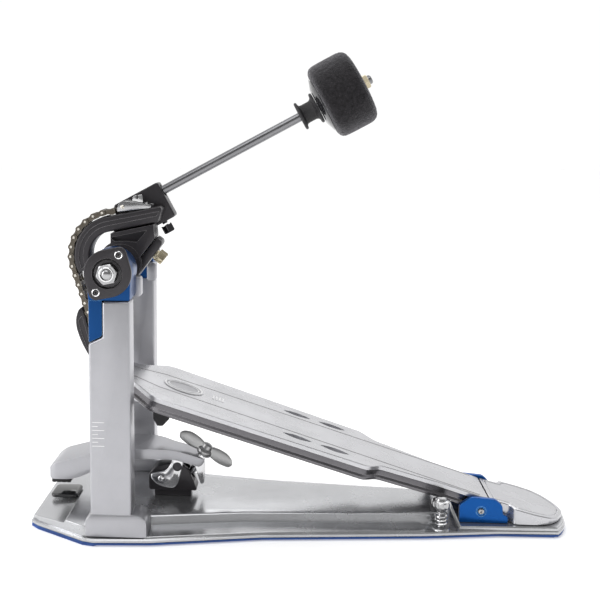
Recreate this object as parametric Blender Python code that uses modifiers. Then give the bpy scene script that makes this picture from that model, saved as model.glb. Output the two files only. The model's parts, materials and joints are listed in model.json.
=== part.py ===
"""Single bass drum pedal: chain-drive footboard, cam, beater, hoop clamp and return spring.

Design frame, in millimetres: X is measured from the axle towards the heel, Y from the middle
of the two posts towards the player's right, and Z up from the floor.  ROW_SHIFT then moves
everything so that the origin is under the middle of the bounding box.
"""
import math

import bmesh
import bpy
from mathutils import Vector

MM = 0.001
ROW_SHIFT = Vector((-131.0, -7.15, 0.0))

# Axle and posts
AXLE_Z = 192.0
POST_HALF_X = 14.5
POST_IN_Y, POST_OUT_Y = 44.8, 61.5
POST_TOP_Z = 172.2
NOTCH_X, NOTCH_Z = -4.6, 147.0

# Floor plate
PLATE_LOW_Z, FLANGE_TOP_Z, HEEL_TOP_Z, DECK_TOP_Z = 2.6, 5.2, 7.6, 13.0

# Footboard: a flat board that rises from the heel gap to the toe
HINGE_X, HINGE_Z = 262.2, 16.2
BOARD_END_X, BOARD_END_Z = 268.6, 24.0
BOARD_SLOPE = 0.318
BOARD_ANGLE = math.atan(BOARD_SLOPE)
BOARD_DEEP, BOARD_SKIN = 11.0, 4.2

# Cam and chain
CAM_X, CAM_Z = -6.5, 197.3
CAM_R, CAM_BAND = 29.0, 13.0
CAM_Y = (-13.0, 4.5)
CHAIN_Y, CHAIN_R, CHAIN_PITCH = -4.25, 32.5, 7.3
CHAIN_STEP = 2 * math.asin(CHAIN_PITCH / 2 / CHAIN_R)
CHAIN_START = math.radians(92.0)
CHAIN_LEAN = math.radians(18.3)
FIRST_LOOSE_PIN, LAST_CAM_PIN = 5, 8
RUN_PITCHES = 10

# Beater, measured along its shaft from the foot of the perpendicular to the axle
SHAFT_ANGLE = math.radians(28.2)
SHAFT_OFF, SHAFT_Y, SHAFT_R = 33.3, 11.9, 3.5

# Cam clamp: the split plane faces down and towards the heel
SPLIT_ANGLE = math.radians(-37.4)
GAP = 0.3

MATERIALS = {
    "plate_silver": ((0.50, 0.51, 0.53), 0.42, 0.7),
    "cast_silver": ((0.50, 0.51, 0.53), 0.42, 0.7),
    "board_silver": ((0.62, 0.62, 0.64), 0.36, 0.7),
    "anodised_blue": ((0.004, 0.060, 0.24), 0.30, 0.6),
    "rubber_blue": ((0.010, 0.045, 0.22), 0.60, 0.0),
    "black_metal": ((0.040, 0.038, 0.043), 0.45, 0.3),
    "steel": ((0.55, 0.55, 0.57), 0.28, 1.0),
    "chrome": ((0.80, 0.80, 0.82), 0.12, 1.0),
    "chain_steel": ((0.23, 0.21, 0.18), 0.35, 1.0),
    "pale_gold": ((0.66, 0.58, 0.42), 0.30, 1.0),
    "rubber_black": ((0.015, 0.015, 0.017), 0.70, 0.0),
    "felt_black": ((0.012, 0.011, 0.013), 0.95, 0.0),
    "gloss_black": ((0.020, 0.020, 0.022), 0.15, 0.0),
    "emblem": ((0.78, 0.79, 0.81), 0.30, 0.4),
}


# ---------------------------------------------------------------- scene and materials
def clear_scene():
    for obj in list(bpy.data.objects):
        bpy.data.objects.remove(obj)


def new_collection(name):
    collection = bpy.data.collections.new(name)
    bpy.context.scene.collection.children.link(collection)
    return collection


def make_material(name):
    colour, roughness, metallic = MATERIALS[name]
    material = bpy.data.materials.new(name)
    material.use_nodes = True
    shader = material.node_tree.nodes["Principled BSDF"]
    shader.inputs["Base Color"].default_value = (*colour, 1.0)
    shader.inputs["Roughness"].default_value = roughness
    shader.inputs["Metallic"].default_value = metallic
    return material


clear_scene()
PARTS = new_collection("bass_drum_pedal")
CUTTERS = new_collection("cutters")
SLOTS = {name: make_material(name) for name in MATERIALS}


# ---------------------------------------------------------------- outlines
def arc(centre, radius, start, end, steps):
    """Points on an arc, angles in degrees."""
    points = []
    for k in range(steps + 1):
        angle = math.radians(start + (end - start) * k / steps)
        points.append((centre[0] + radius * math.cos(angle), centre[1] + radius * math.sin(angle)))
    return points


def hull(circles, steps=32):
    """Outline of the convex hull of (x, z, radius) circles."""
    points = []
    for k in range(steps):
        angle = 2 * math.pi * k / steps
        ux, uz = math.cos(angle), math.sin(angle)
        x, z, radius = max(circles, key=lambda c: c[0] * ux + c[1] * uz + c[2])
        points.append((x + radius * ux, z + radius * uz))
    return points


def mirrored(half):
    """Close a half outline of (x, half width) points about the middle plane."""
    near = [(x, -y) for x, y in half]
    far = [(x, y) for x, y in reversed(half) if y > 0]
    return near + far


# ---------------------------------------------------------------- solids
def prism(outline, axis, low, high):
    """An outline extruded along x, y or z between two levels."""
    place = {
        "x": lambda a, b, c: (c, a, b),
        "y": lambda a, b, c: (a, c, b),
        "z": lambda a, b, c: (a, b, c),
    }[axis]
    bm = bmesh.new()
    first = [bm.verts.new(place(a, b, low)) for a, b in outline]
    last = [bm.verts.new(place(a, b, high)) for a, b in outline]
    bm.faces.new(first)
    bm.faces.new(last)
    for k in range(len(outline)):
        n = (k + 1) % len(outline)
        bm.faces.new((first[k], first[n], last[n], last[k]))
    return bm


def bridge(bm, low, high):
    count = max(len(low), len(high))
    for k in range(count):
        n = (k + 1) % count
        if len(low) == 1:
            bm.faces.new((low[0], high[n], high[k]))
        elif len(high) == 1:
            bm.faces.new((low[k], low[n], high[0]))
        else:
            bm.faces.new((low[k], low[n], high[n], high[k]))


def turned(profile, base, axis, steps=24, phase=0.0, ring=False):
    """A (distance, radius) profile turned about an axis; ring closes it on itself, with a bore."""
    spin = Vector(axis).normalized().to_track_quat("Z", "Y")
    bm = bmesh.new()
    loops = []
    for along, radius in profile:
        loop = []
        for k in range(steps if radius > 0 else 1):
            angle = phase + 2 * math.pi * k / steps
            local = Vector((radius * math.cos(angle), radius * math.sin(angle), along))
            loop.append(bm.verts.new(Vector(base) + spin @ local))
        loops.append(loop)
    for low, high in zip(loops, loops[1:]):
        bridge(bm, low, high)
    if ring:
        bridge(bm, loops[-1], loops[0])
        return bm
    for loop in (loops[0], loops[-1]):
        if len(loop) > 1:
            bm.faces.new(loop)
    return bm


def hexagon(flats):
    """Corner radius of a hexagon that is this wide across its flats."""
    return flats / 2 / math.cos(math.pi / 6)


def rod(start, end, radius, steps=20, chamfer=0.0):
    span = Vector(end) - Vector(start)
    length = span.length
    profile = [(0, radius), (length, radius)]
    if chamfer:
        profile = [(0, radius - chamfer), (chamfer, radius)]
        profile += [(length - chamfer, radius), (length, radius - chamfer)]
    return turned(profile, start, span, steps)


def part(name, bm, slot, origin=(0, 0, 0), bevel=0.0, steps=1, collection=None):
    """Turn a solid into a named object whose origin is the given point of the design frame."""
    bmesh.ops.recalc_face_normals(bm, faces=bm.faces)
    bmesh.ops.translate(bm, vec=-Vector(origin), verts=bm.verts)
    bmesh.ops.scale(bm, vec=(MM, MM, MM), verts=bm.verts)
    mesh = bpy.data.meshes.new(name)
    bm.to_mesh(mesh)
    bm.free()
    obj = bpy.data.objects.new(name, mesh)
    obj.location = (Vector(origin) + ROW_SHIFT) * MM
    (collection or PARTS).objects.link(obj)
    obj.data.materials.append(SLOTS[slot])
    mesh.shade_smooth()
    mesh.set_sharp_from_angle(angle=math.radians(35))
    if bevel:
        edge = obj.modifiers.new("edges", "BEVEL")
        edge.width = bevel * MM
        edge.segments = steps
        edge.limit_method = "ANGLE"
        edge.angle_limit = math.radians(38)
    return obj


def boolean(obj, bm, operation, slot, bevel=0.0):
    tool = part(obj.name + "_tool", bm, slot, bevel=bevel, collection=CUTTERS)
    tool.hide_render = True
    tool.display_type = "WIRE"
    change = obj.modifiers.new(operation.lower(), "BOOLEAN")
    change.operation = operation
    change.solver = "EXACT"
    change.object = tool


def cut(obj, *solids):
    for bm in solids:
        boolean(obj, bm, "DIFFERENCE", obj.data.materials[0].name)


def fuse(obj, *solids, bevel=0.0):
    for bm in solids:
        boolean(obj, bm, "UNION", obj.data.materials[0].name, bevel)


def hex_nut(name, base, axis, flats, height, bore, slot, origin):
    """A nut with both outer corners eased and a round hole."""
    rim = hexagon(flats)
    shape = [(0, rim - 0.5), (0.4, rim), (height - 0.4, rim), (height, rim - 0.5)]
    nut = part(name, turned(shape, base, axis, 6, 0.2), slot, origin)
    cut(nut, turned([(-2, bore), (height + 2, bore)], base, axis, 24))


def coil(name, slot, base, height, radius, wire, turns, tail=()):
    """A helical spring wound up from its base, with optional extra points at each end."""
    steps = 11 * turns
    points = []
    for k in range(steps + 1):
        angle = 2 * math.pi * k * turns / steps
        level = height * k / steps
        points.append((radius * math.cos(angle), radius * math.sin(angle), level))
    points = [*tail, *points] if tail else points
    curve = bpy.data.curves.new(name, "CURVE")
    curve.dimensions = "3D"
    curve.bevel_depth = wire * MM
    curve.bevel_resolution = 0
    curve.use_fill_caps = True
    spline = curve.splines.new("POLY")
    spline.points.add(len(points) - 1)
    for point, place in zip(spline.points, points):
        point.co = (*(Vector(place) * MM), 1.0)
    obj = bpy.data.objects.new(name, curve)
    obj.location = (Vector(base) + ROW_SHIFT) * MM
    PARTS.objects.link(obj)
    curve.materials.append(SLOTS[slot])
    return obj


# ---------------------------------------------------------------- local frames
def shaft_point(along, off, y=SHAFT_Y):
    """A point given along the beater's shaft and square to it."""
    cos, sin = math.cos(SHAFT_ANGLE), math.sin(SHAFT_ANGLE)
    return Vector((along * cos - off * sin, y, AXLE_Z + along * sin + off * cos))


def split_point(along, out, y=0.0):
    """A point given along the clamp's split plane and out from the axle."""
    cos, sin = math.cos(SPLIT_ANGLE), math.sin(SPLIT_ANGLE)
    return Vector((-along * sin + out * cos, y, AXLE_Z + along * cos + out * sin))


def board_z(x):
    return BOARD_END_Z + BOARD_SLOPE * (BOARD_END_X - x)


def flat(point):
    return (point[0], point[2])


def cam_pin(index):
    """Chain pin on the cam, counted from the anchor."""
    angle = CHAIN_START + CHAIN_STEP * index
    return (CAM_X + CHAIN_R * math.cos(angle), CAM_Z + CHAIN_R * math.sin(angle))


def run_pin(index):
    """Chain pin on the straight run, counted down from the last pin on the cam."""
    x, z = cam_pin(LAST_CAM_PIN)
    drop = CHAIN_PITCH * index
    return (x + drop * math.sin(CHAIN_LEAN), z - drop * math.cos(CHAIN_LEAN))


# ---------------------------------------------------------------- floor plate and mat
PLATE_HALF = [(-64.3, 36.0), (-58.0, 41.5), (-20.0, 63.5), (-12.0, 65.7), (28.0, 63.0), (105.0, 48.8),
              (221.0, 38.0), (274.0, 30.5)]


def plate_outline(inset=0.0):
    half = [(x + (inset if x < -60 else 0), y - inset) for x, y in PLATE_HALF]
    tip = [(x, y) for x, y in arc((284.0, 0.0), 42.6 - inset, 42, 0, 7)]
    return mirrored([*half, *tip])


def floor_plate():
    plate = part("base_plate", prism(plate_outline(), "z", PLATE_LOW_Z, FLANGE_TOP_Z), "plate_silver")
    deck_half = [(-60.0, 33.0), (-22.0, 41.0), (23.0, 41.5), (91.0, 31.0), (206.0, 23.6), (236.0, 20.0)]
    deck = prism(mirrored(deck_half), "z", 3.4, DECK_TOP_Z)
    nose = prism([(-70.0, 6.0), (-70.0, 30.0), (-20.0, 30.0), (-36.0, 10.6), (-60.0, 8.4), (-64.0, 7.0)],
                 "y", -80.0, 80.0)
    heel_half = [(219.0, 33.0), (273.0, 29.6), *arc((284.0, 0.0), 41.7, 42, 0, 7)]
    heel = prism(mirrored(heel_half), "z", 3.1, HEEL_TOP_Z)
    fuse(plate, deck, heel, bevel=0.8)
    cut(plate, nose)
    for side in (-1, 1):
        cut(plate, rod((233, side * 29, 0), (233, side * 29, 12), 3.2, 16))


def floor_mat():
    mat = part("base_mat", prism(plate_outline(0.4), "z", 1.0, PLATE_LOW_Z - GAP), "rubber_blue")
    front = mirrored([(-64.2, 35.4), (-58.0, 41.2), (-20.0, 63.2), (-12.0, 64.8), (-6.0, 60.0)])
    heel = mirrored([(273.0, 28.0), *arc((283.0, 0.0), 40.5, 42, 0, 7)])
    fuse(mat, prism(front, "z", 0.0, 1.9), prism(heel, "z", 0.0, 1.9))


# ---------------------------------------------------------------- posts and bearings
def post(name, side):
    profile = [(-POST_HALF_X, 6.0), (POST_HALF_X, 6.0), (POST_HALF_X, POST_TOP_Z), (NOTCH_X, POST_TOP_Z),
               (NOTCH_X, NOTCH_Z), (-POST_HALF_X, NOTCH_Z - 4.5)]
    low, high = sorted((side * POST_IN_Y, side * POST_OUT_Y))
    obj = part(name, prism(profile, "y", low, high), "cast_silver", bevel=1.0)
    foot = [(-18.2, 5.5), (25.5, 5.5), *arc((18.0, 14.5), 7.5, 0, 90, 4), (-14.0, 22.0), (-18.2, 17.5)]
    low, high = sorted((side * 43.0, side * 62.6))
    fuse(obj, prism(foot, "y", low, high), bevel=0.6)
    return obj


def housing(name, side):
    """Blue block that carries the bearing, with a tongue down the front of the post."""
    low, high = sorted((side * 38.0, side * 61.2))
    head = [(-POST_HALF_X, POST_TOP_Z + GAP), (POST_HALF_X, POST_TOP_Z + GAP),
            *arc((0.0, AXLE_Z), 16.0, -20, 200, 18)]
    obj = part(name, prism(head, "y", low, high), "anodised_blue", bevel=0.8)
    inner, outer = sorted((side * 46.0, side * 60.4))
    tongue = [(-POST_HALF_X, NOTCH_Z - 3.9), (-6.4, NOTCH_Z - 0.1), (NOTCH_X - GAP, NOTCH_Z + 1.6),
              (NOTCH_X - GAP, 176.0), (-POST_HALF_X, 176.0)]
    fuse(obj, prism(tongue, "y", inner, outer))
    cut(obj, rod((0, low - 2, AXLE_Z), (0, high + 2, AXLE_Z), 4.3, 24))


def bearing_cap(name, side):
    outline = hull([(0, AXLE_Z, 16.5), (8, AXLE_Z + 13, 5.3), (-8, AXLE_Z - 13, 5.3)], 30)
    low, high = sorted((side * 61.5, side * 65.0))
    obj = part(name, prism(outline, "y", low, high), "black_metal", bevel=0.5)
    cut(obj, rod((0, side * 60, AXLE_Z), (0, side * 70, AXLE_Z), 4.3, 24),
        rod((0, side * 63.2, AXLE_Z), (0, side * 70, AXLE_Z), 10.5, 22))
    for end in (-1, 1):
        cut(obj, rod((end * 8, side * 60, AXLE_Z + end * 13), (end * 8, side * 70, AXLE_Z + end * 13), 2.2, 16))


def cap_screws(label, side):
    for word, end in (("top", 1), ("bottom", -1)):
        place = (end * 8, side * 61.6, AXLE_Z + end * 13)
        out = (0, side, 0)
        obj = part(f"cap_screw_{label}_{word}", turned([(0, 1.9), (2.9, 1.9), (3.2, 1.5)], place, out, 16),
                   "chrome")
        cut(obj, turned([(1.6, 0.9), (6.0, 0.9)], place, out, 6))


def posts():
    for label, side in (("left", -1), ("right", 1)):
        post(f"post_{label}", side)
        housing(f"bearing_housing_{label}", side)
        bearing_cap(f"bearing_cap_{label}", side)
        cap_screws(label, side)


# ---------------------------------------------------------------- axle, cam and hub
def axle_parts():
    origin = (0, 0, AXLE_Z)
    start, stop = -69.5, 81.0
    thin = 3.85
    profile = [(0, thin - 1.2), (0.8, thin), (32, thin), (32, hexagon(12)), (106.8, hexagon(12)), (106.8, thin),
               (stop - start - 0.8, thin), (stop - start, thin - 1.2)]
    turn = math.radians(30) + SPLIT_ANGLE
    obj = part("axle", turned(profile, (0, start, AXLE_Z), (0, 1, 0), 6, turn), "steel", origin)
    ends = [(0, thin - 1.2), (0.8, thin), (31.6, thin)]
    fuse(obj, turned(ends, (0, start - 0.2, AXLE_Z), (0, 1, 0), 24),
         turned(ends, (0, stop + 0.2, AXLE_Z), (0, -1, 0), 24))
    for label, y, out in (("left", -63.6, -1), ("right", 74.2, 1)):
        hex_nut(f"axle_nut_{label}", (0, y, AXLE_Z), (0, out, 0), 13, 4.5, 4.2, "steel", origin)


def cam():
    inner = CAM_R - CAM_BAND + 2.0
    outline = [(29.9, 231.8), (28.2, 234.0), *arc((CAM_X, CAM_Z), CAM_R, 101.3, 208, 14),
               *arc((CAM_X, CAM_Z), inner, 204, 101.3, 10), (21.8, 221.4), (27.0, 222.5)]
    return part("cam", prism(outline, "y", *CAM_Y), "black_metal", (0, 0, AXLE_Z), bevel=0.7)


def cam_hub():
    flat_out = 8.3
    under = [(24.0, 221.2 - 0.35), (-8.0, 214.4 - 0.35)]
    outline = [flat(split_point(-14.8, flat_out)), flat(split_point(30, flat_out)), *under,
               *arc((0.0, AXLE_Z), 17.0, 118, 261.8, 16)]
    obj = part("cam_hub", prism(outline, "y", -15.0, 4.5), "black_metal", (0, 0, AXLE_Z), bevel=0.5)
    cut(obj, turned([(0, hexagon(12.6)), (60, hexagon(12.6))], (0, -30, AXLE_Z), (0, 1, 0), 6,
                    math.radians(30) + SPLIT_ANGLE))


def cam_clamp():
    corners = [split_point(-11, 8.8), split_point(31, 8.8), split_point(31, 13.5), split_point(29, 15.3),
               split_point(-9, 15.3), split_point(-11, 13.5)]
    obj = part("cam_clamp_bar", prism([flat(c) for c in corners], "y", -13.0, 3.0), "black_metal",
               (0, 0, AXLE_Z), bevel=0.4)
    out = split_point(0, 1) - split_point(0, 0)
    for label, y in (("a", -9.2), ("b", -0.3)):
        cut(obj, rod(split_point(20, 5, y), split_point(20, 20, y), 2.3, 14))
        key_screw(f"cam_key_screw_{label}", split_point(20, 9.0, y), out, 6.6, "pale_gold")


def key_screw(name, base, out, grip, slot):
    """Square-headed screw; grip is the length of shank below its flange."""
    head = 3.0 * math.sqrt(2)
    obj = part(name, turned([(0, 2.0), (grip + 0.6, 2.0)], base, out, 14), slot, base)
    flange = turned([(grip, 3.6), (grip + 1.4, 3.6), (grip + 1.7, 3.2)], base, out, 18)
    square = turned([(grip + 1.2, head), (grip + 7.0, head), (grip + 7.6, head - 0.7)], base, out, 4)
    fuse(obj, flange, square)
    return obj


def chain_anchor():
    outline = [(-3.6, 230.0), (22.0, 235.0), (21.0, 236.6), (3.0, 238.0), (-1.6, 236.6)]
    obj = part("chain_anchor", prism(outline, "y", CHAIN_Y - 7.4, CHAIN_Y + 7.4), "steel", (0, 0, AXLE_Z),
               bevel=0.5)
    fuse(obj, prism([(7, 236.0), (15, 236.0), (14.2, 241.4), (8.2, 242.0)], "y", CHAIN_Y - 4, CHAIN_Y + 4))


# ---------------------------------------------------------------- chain
PLATE_R, ROLLER_R, TOP_ROLLER_R, TOE_PIN_R = 2.5, 2.2, 1.9, 1.4
CHAIN_HALF, ROLLER_HALF = 7.6, 5.9
BAR_BACK = 0.55


def band(pins):
    """Scalloped side view of a rigid stretch of chain."""
    above, below = [], []
    for k, (x, z) in enumerate(pins):
        before, after = pins[max(k - 1, 0)], pins[min(k + 1, len(pins) - 1)]
        ux, uz = after[0] - before[0], after[1] - before[1]
        length = math.hypot(ux, uz)
        ux, uz = ux / length, uz / length
        above.append((x - uz * PLATE_R, z + ux * PLATE_R))
        below.append((x + uz * PLATE_R, z - ux * PLATE_R))
        if k + 1 < len(pins):
            mx, mz = (x + after[0]) / 2, (z + after[1]) / 2
            above.append((mx - uz * ROLLER_R, mz + ux * ROLLER_R))
            below.append((mx + uz * ROLLER_R, mz - ux * ROLLER_R))
    (x0, z0), (x1, z1) = pins[0], pins[1]
    reach = PLATE_R / math.dist(pins[0], pins[1])
    start = (x0 - (x1 - x0) * reach, z0 - (z1 - z0) * reach)
    (x1, z1), (x0, z0) = pins[-1], pins[-2]
    stop = (x1 + (x1 - x0) * reach, z1 + (z1 - z0) * reach)
    return [start, *above, stop, *reversed(below)]


def across(half):
    return CHAIN_Y - half, CHAIN_Y + half


def rollers(start, end):
    return prism(hull([(*start, ROLLER_R), (*end, ROLLER_R)], 16), "y", *across(ROLLER_HALF))


def outer_link(name, start, end):
    """Two side plates joined between the rollers of the links on either side."""
    outline = hull([(*start, PLATE_R), (*end, PLATE_R)], 16)
    low, high = across(CHAIN_HALF)
    obj = part(name, prism(outline, "y", low, low + 1.4), "chain_steel", (start[0], CHAIN_Y, start[1]))
    mx, mz = (start[0] + end[0]) / 2, (start[1] + end[1]) / 2
    ux, uz = (end[0] - start[0]) / CHAIN_PITCH, (end[1] - start[1]) / CHAIN_PITCH
    corners = [(-1, -1), (1, -1), (1, 1), (-1, 1)]
    mx, mz = mx - ux * BAR_BACK, mz - uz * BAR_BACK
    bar = [(mx + ux * 0.5 * a - uz * 1.8 * b, mz + uz * 0.5 * a + ux * 1.8 * b) for a, b in corners]
    fuse(obj, prism(outline, "y", high - 1.4, high), prism(bar, "y", low + 0.7, high - 0.7))


def chain():
    pins = [cam_pin(k) for k in range(LAST_CAM_PIN + 1)]
    wrap = part("chain_wrap", prism(band(pins[:FIRST_LOOSE_PIN]), "y", *across(CHAIN_HALF)), "chain_steel",
                (0, 0, AXLE_Z))
    fuse(wrap, rollers(pins[FIRST_LOOSE_PIN - 1], pins[FIRST_LOOSE_PIN]))
    outer_link("chain_link_1", pins[5], pins[6])
    part("chain_link_2", rollers(pins[6], pins[7]), "chain_steel", (pins[6][0], CHAIN_Y, pins[6][1]))
    outer_link("chain_link_3", pins[7], pins[8])
    run = [run_pin(k) for k in range(RUN_PITCHES + 1)]
    (x, z), toe = run[0], run[-1]
    straight = part("chain_run", prism(band(run[1:]), "y", *across(CHAIN_HALF)), "chain_steel",
                    (toe[0], CHAIN_Y, toe[1]))
    fuse(straight, prism(hull([(x, z, TOP_ROLLER_R), (*run[1], ROLLER_R)], 16), "y", *across(ROLLER_HALF)))
    cut(straight, rod((toe[0], -30.0, toe[1]), (toe[0], 30.0, toe[1]), TOE_PIN_R + 0.1, 20))


# ---------------------------------------------------------------- beater
def hub_out():
    return shaft_point(1, 0) - shaft_point(0, 0)


def beater_hub():
    block = [shaft_point(a, b) for a, b in ((12.6, 38.8), (47.0, 38.8), (47.0, 13.7), (24.0, 13.7))]
    neck = [shaft_point(a, b) for a, b in ((12.6, 36.0), (28.0, 15.0))]
    outline = hull([(c.x, c.z, 2.0) for c in block], 24)
    obj = part("beater_hub", prism(outline, "y", 4.8, 19.0), "black_metal", (0, 0, AXLE_Z), bevel=0.6)
    outline = hull([(0, AXLE_Z, 12.5), *[(c.x, c.z, 2.0) for c in neck]], 32)
    fuse(obj, prism(outline, "y", 5.3, 18.5))
    along = hub_out()
    cut(obj, turned([(0, hexagon(12.6)), (60, hexagon(12.6))], (0, -30, AXLE_Z), (0, 1, 0), 6,
                    math.radians(30) + SPLIT_ANGLE),
        turned([(0, SHAFT_R + GAP), (80, SHAFT_R + GAP)], shaft_point(-5, SHAFT_OFF), along, 20))
    down = shaft_point(0, 0) - shaft_point(0, 1)
    cut(obj, turned([(0, 2.3), (40, 2.3)], shaft_point(38.4, SHAFT_OFF - 1), down, 14))
    key_screw("beater_key_screw", shaft_point(38.4, SHAFT_OFF - SHAFT_R - GAP), down, 19.2, "black_metal")


def beater():
    along = hub_out()
    base = shaft_point(0, SHAFT_OFF)
    bore = SHAFT_R + GAP
    shaft = [(13, SHAFT_R - 0.6), (13.6, SHAFT_R), (225.0, SHAFT_R), (226.0, SHAFT_R - 0.8)]
    part("beater_shaft", turned(shaft, base, along, 20), "steel", base)
    spool = [(166.2, bore), (166.2, 10.4), (166.8, 11.0), (168.2, 11.0), (168.9, 7.8), (171.0, 7.3), (176.6, 7.3),
             (178.8, 8.6), (179.3, 11.5), (179.8, 12.0), (181.2, 12.0), (181.2, bore)]
    part("beater_spool", turned(spool, base, along, 22, ring=True), "rubber_black", base)
    plate = [(181.8, bore), (181.8, 14.5), (184.4, 21.5), (185.1, 21.5), (185.1, bore)]
    part("beater_plate", turned(plate, base, along, 28, ring=True), "gloss_black", base)
    head = [(185.4, bore), (185.4, 23.0), (186.7, 26.4), (189.6, 28.4), (193.0, 28.9), (211.2, 28.9), (214.7, 27.9),
            (217.1, 25.6), (218.2, 22.0), (218.8, 12.6), (218.8, bore)]
    part("beater_felt", turned(head, base, along, 32, ring=True), "felt_black", base)
    hex_nut("beater_nut", shaft_point(219.2, SHAFT_OFF), along, 10, 4.0, bore, "pale_gold", base)


# ---------------------------------------------------------------- footboard and heel
BOARD_HALF = [(-19.5, 9.0), (-17.0, 14.0), (-11.0, 19.0), (2.0, 20.5), (10.0, 23.0), (20.0, 34.5),
              (25.0, 40.5), (31.0, 43.0), (168.0, 37.4), (180.0, 37.0), (185.0, 32.0), (190.0, 26.4),
              (234.0, 20.5), (BOARD_END_X, 20.5)]


def on_board(x, y, lift=0.0):
    """A point above the board's top face, square to it."""
    return Vector((x + lift * math.sin(BOARD_ANGLE), y, board_z(x) + lift * math.cos(BOARD_ANGLE)))


def board_slab(outline, top, bottom):
    """An outline, given by level X and Y, swept square to the board between two depths."""
    bm = bmesh.new()
    first = [bm.verts.new(on_board(x, y, top)) for x, y in outline]
    last = [bm.verts.new(on_board(x, y, bottom)) for x, y in outline]
    bm.faces.new(first)
    bm.faces.new(last)
    for k in range(len(outline)):
        n = (k + 1) % len(outline)
        bm.faces.new((first[k], first[n], last[n], last[k]))
    return bm


def footboard():
    hinge = (HINGE_X, 0, HINGE_Z)
    board = part("footboard", board_slab(mirrored(BOARD_HALF), 0.0, -BOARD_DEEP), "board_silver", hinge,
                 bevel=0.8)
    wide = [(12.0, 16.0), (28.0, 36.5), (34.0, 38.4), (166.0, 33.2), (178.0, 32.8)]
    narrow = [(179.0, 24.0), (190.0, 22.0), (236.0, 16.0)]
    cut(board, board_slab(mirrored([*wide, *narrow]), -BOARD_SKIN, -30.0))
    fuse(board, rod((HINGE_X, -19.6, HINGE_Z), (HINGE_X, 19.6, HINGE_Z), 5.8, 24))
    cut(board, rod((HINGE_X, -30, HINGE_Z), (HINGE_X, 30, HINGE_Z), 2.5, 24),
        prism([(268.65, 0), (290, 0), (290, 40), (268.65, 40)], "y", -30, 30))
    for x in (132.0, 158.0):
        for side in (-1, 1):
            pocket = [(px, side * 26 + py) for px, py in arc((x, 0), 7.0, 0, 330, 11)]
            pocket = [(x + (px - x) * 1.3, side * 26 + (py - side * 26) * 0.55) for px, py in pocket]
            cut(board, board_slab(pocket, 3.0, -1.2))
    for label, side in (("left", -1), ("right", 1)):
        wedge = [(37.0, 80.0), (32.0, 74.6), (28.0, 74.6), (25.0, 80.0)]
        low, high = sorted((side * 20.0, side * 29.0))
        bumper(f"footboard_bumper_{label}", wedge, low, high)
    emblem = [(44 + 15 * math.cos(a), 12 * math.sin(a)) for a in (2 * math.pi * k / 28 for k in range(28))]
    part("footboard_emblem", board_slab(emblem, 0.9, GAP), "emblem", hinge)
    toe_fork(hinge)
    guard = [(-31.3, 158.0), (-33.2, 156.4), (-34.8, 152.4), (-35.5, 147.7), (-34.8, 141.7), (-32.8, 135.7),
             (-30.2, 129.6), (-27.1, 123.8), (-23.6, 118.2), (-20.6, 113.0), (-20.6, 121.0), (-22.2, 127.5),
             (-24.0, 134.5), (-26.2, 142.5), (-28.6, 150.5), (-30.6, 156.6)]
    part("toe_guard", prism(guard, "y", -12.0, 3.5), "black_metal", hinge, bevel=0.6)


def bumper(name, wedge, low, high):
    """Rubber stop hung from the underside of the board."""
    seat = [(x, board_z(x) - BOARD_SKIN * 1.08 - 0.6) for x in (25.0, 37.0)]
    part(name, prism([*seat, *wedge], "y", low, high), "rubber_black", (HINGE_X, 0, HINGE_Z), bevel=0.6)


def toe_fork(hinge):
    cheek = [(-17.6, board_z(-17.6) + 0.35), (-6.0, board_z(-6.0) + 0.35), (-9.0, 122.0), (-13.0, 124.4),
             (-17.0, 122.6)]
    low, high = across(11.2)
    obj = part("toe_fork", prism(cheek, "y", low, low + 2.4), "steel", hinge, bevel=0.4)
    floor = [(-17.6, board_z(-17.6) + 0.35), (-6.0, board_z(-6.0) + 0.35), (-6.3, board_z(-6.3) + 1.6),
             (-17.3, board_z(-17.3) + 1.6)]
    x, z = run_pin(RUN_PITCHES)
    fuse(obj, prism(cheek, "y", high - 2.4, high), prism(floor, "y", low + 1.0, high - 1.0),
         rod((x, low + 1.0, z), (x, high - 1.0, z), TOE_PIN_R, 20))


def heel():
    for label, side in (("left", -1), ("right", 1)):
        foot = HEEL_TOP_Z + GAP
        outline = [(246.8, foot), (246.8, 20.6), (255.2, 26.4), (272.8, 25.0), (277.4, 20.6), (277.4, 14.2),
                   (281.0, 13.0), (281.0, foot)]
        low, high = sorted((side * 20.9, side * 24.3))
        block = part(f"hinge_block_{label}", prism(outline, "y", low, high), "anodised_blue", bevel=0.5)
        cut(block, rod((HINGE_X, -40, HINGE_Z), (HINGE_X, 40, HINGE_Z), 2.5, 20))
    part("hinge_pin", rod((HINGE_X, -24.9, HINGE_Z), (HINGE_X, 24.9, HINGE_Z), 2.2, 20, 0.4), "steel")
    half = [(269.3, 20.2), (282.5, 20.2), (285.5, 26.4), (300.0, 26.6), (311.0, 24.4), (318.0, 18.6), (323.0, 10.0),
            (325.2, 3.0)]
    bm = bmesh.new()
    outline = mirrored(half)
    low = [bm.verts.new((x, y, HEEL_TOP_Z + GAP)) for x, y in outline]
    high = [bm.verts.new((x, y, 24.0 - (x - 269.3) * 0.262)) for x, y in outline]
    bm.faces.new(low)
    bm.faces.new(high)
    for k in range(len(outline)):
        n = (k + 1) % len(outline)
        bm.faces.new((low[k], low[n], high[n], high[k]))
    part("heel_plate", bm, "board_silver", bevel=0.8)


def spurs():
    for label, side in (("left", -1), ("right", 1)):
        base = (233, side * 29, 3.6)
        screw = [(0, 0.0), (2.0, 2.6), (15.4, 2.6), (15.4, 5.2), (23.6, 5.2), (24.6, 4.2)]
        part(f"spur_screw_{label}", turned(screw, base, (0, 0, 1), 20), "steel", base)
        coil(f"spur_spring_{label}", "chrome", (233, side * 29, 8.8), 8.8, 4.2, 0.75, 4)


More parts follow.
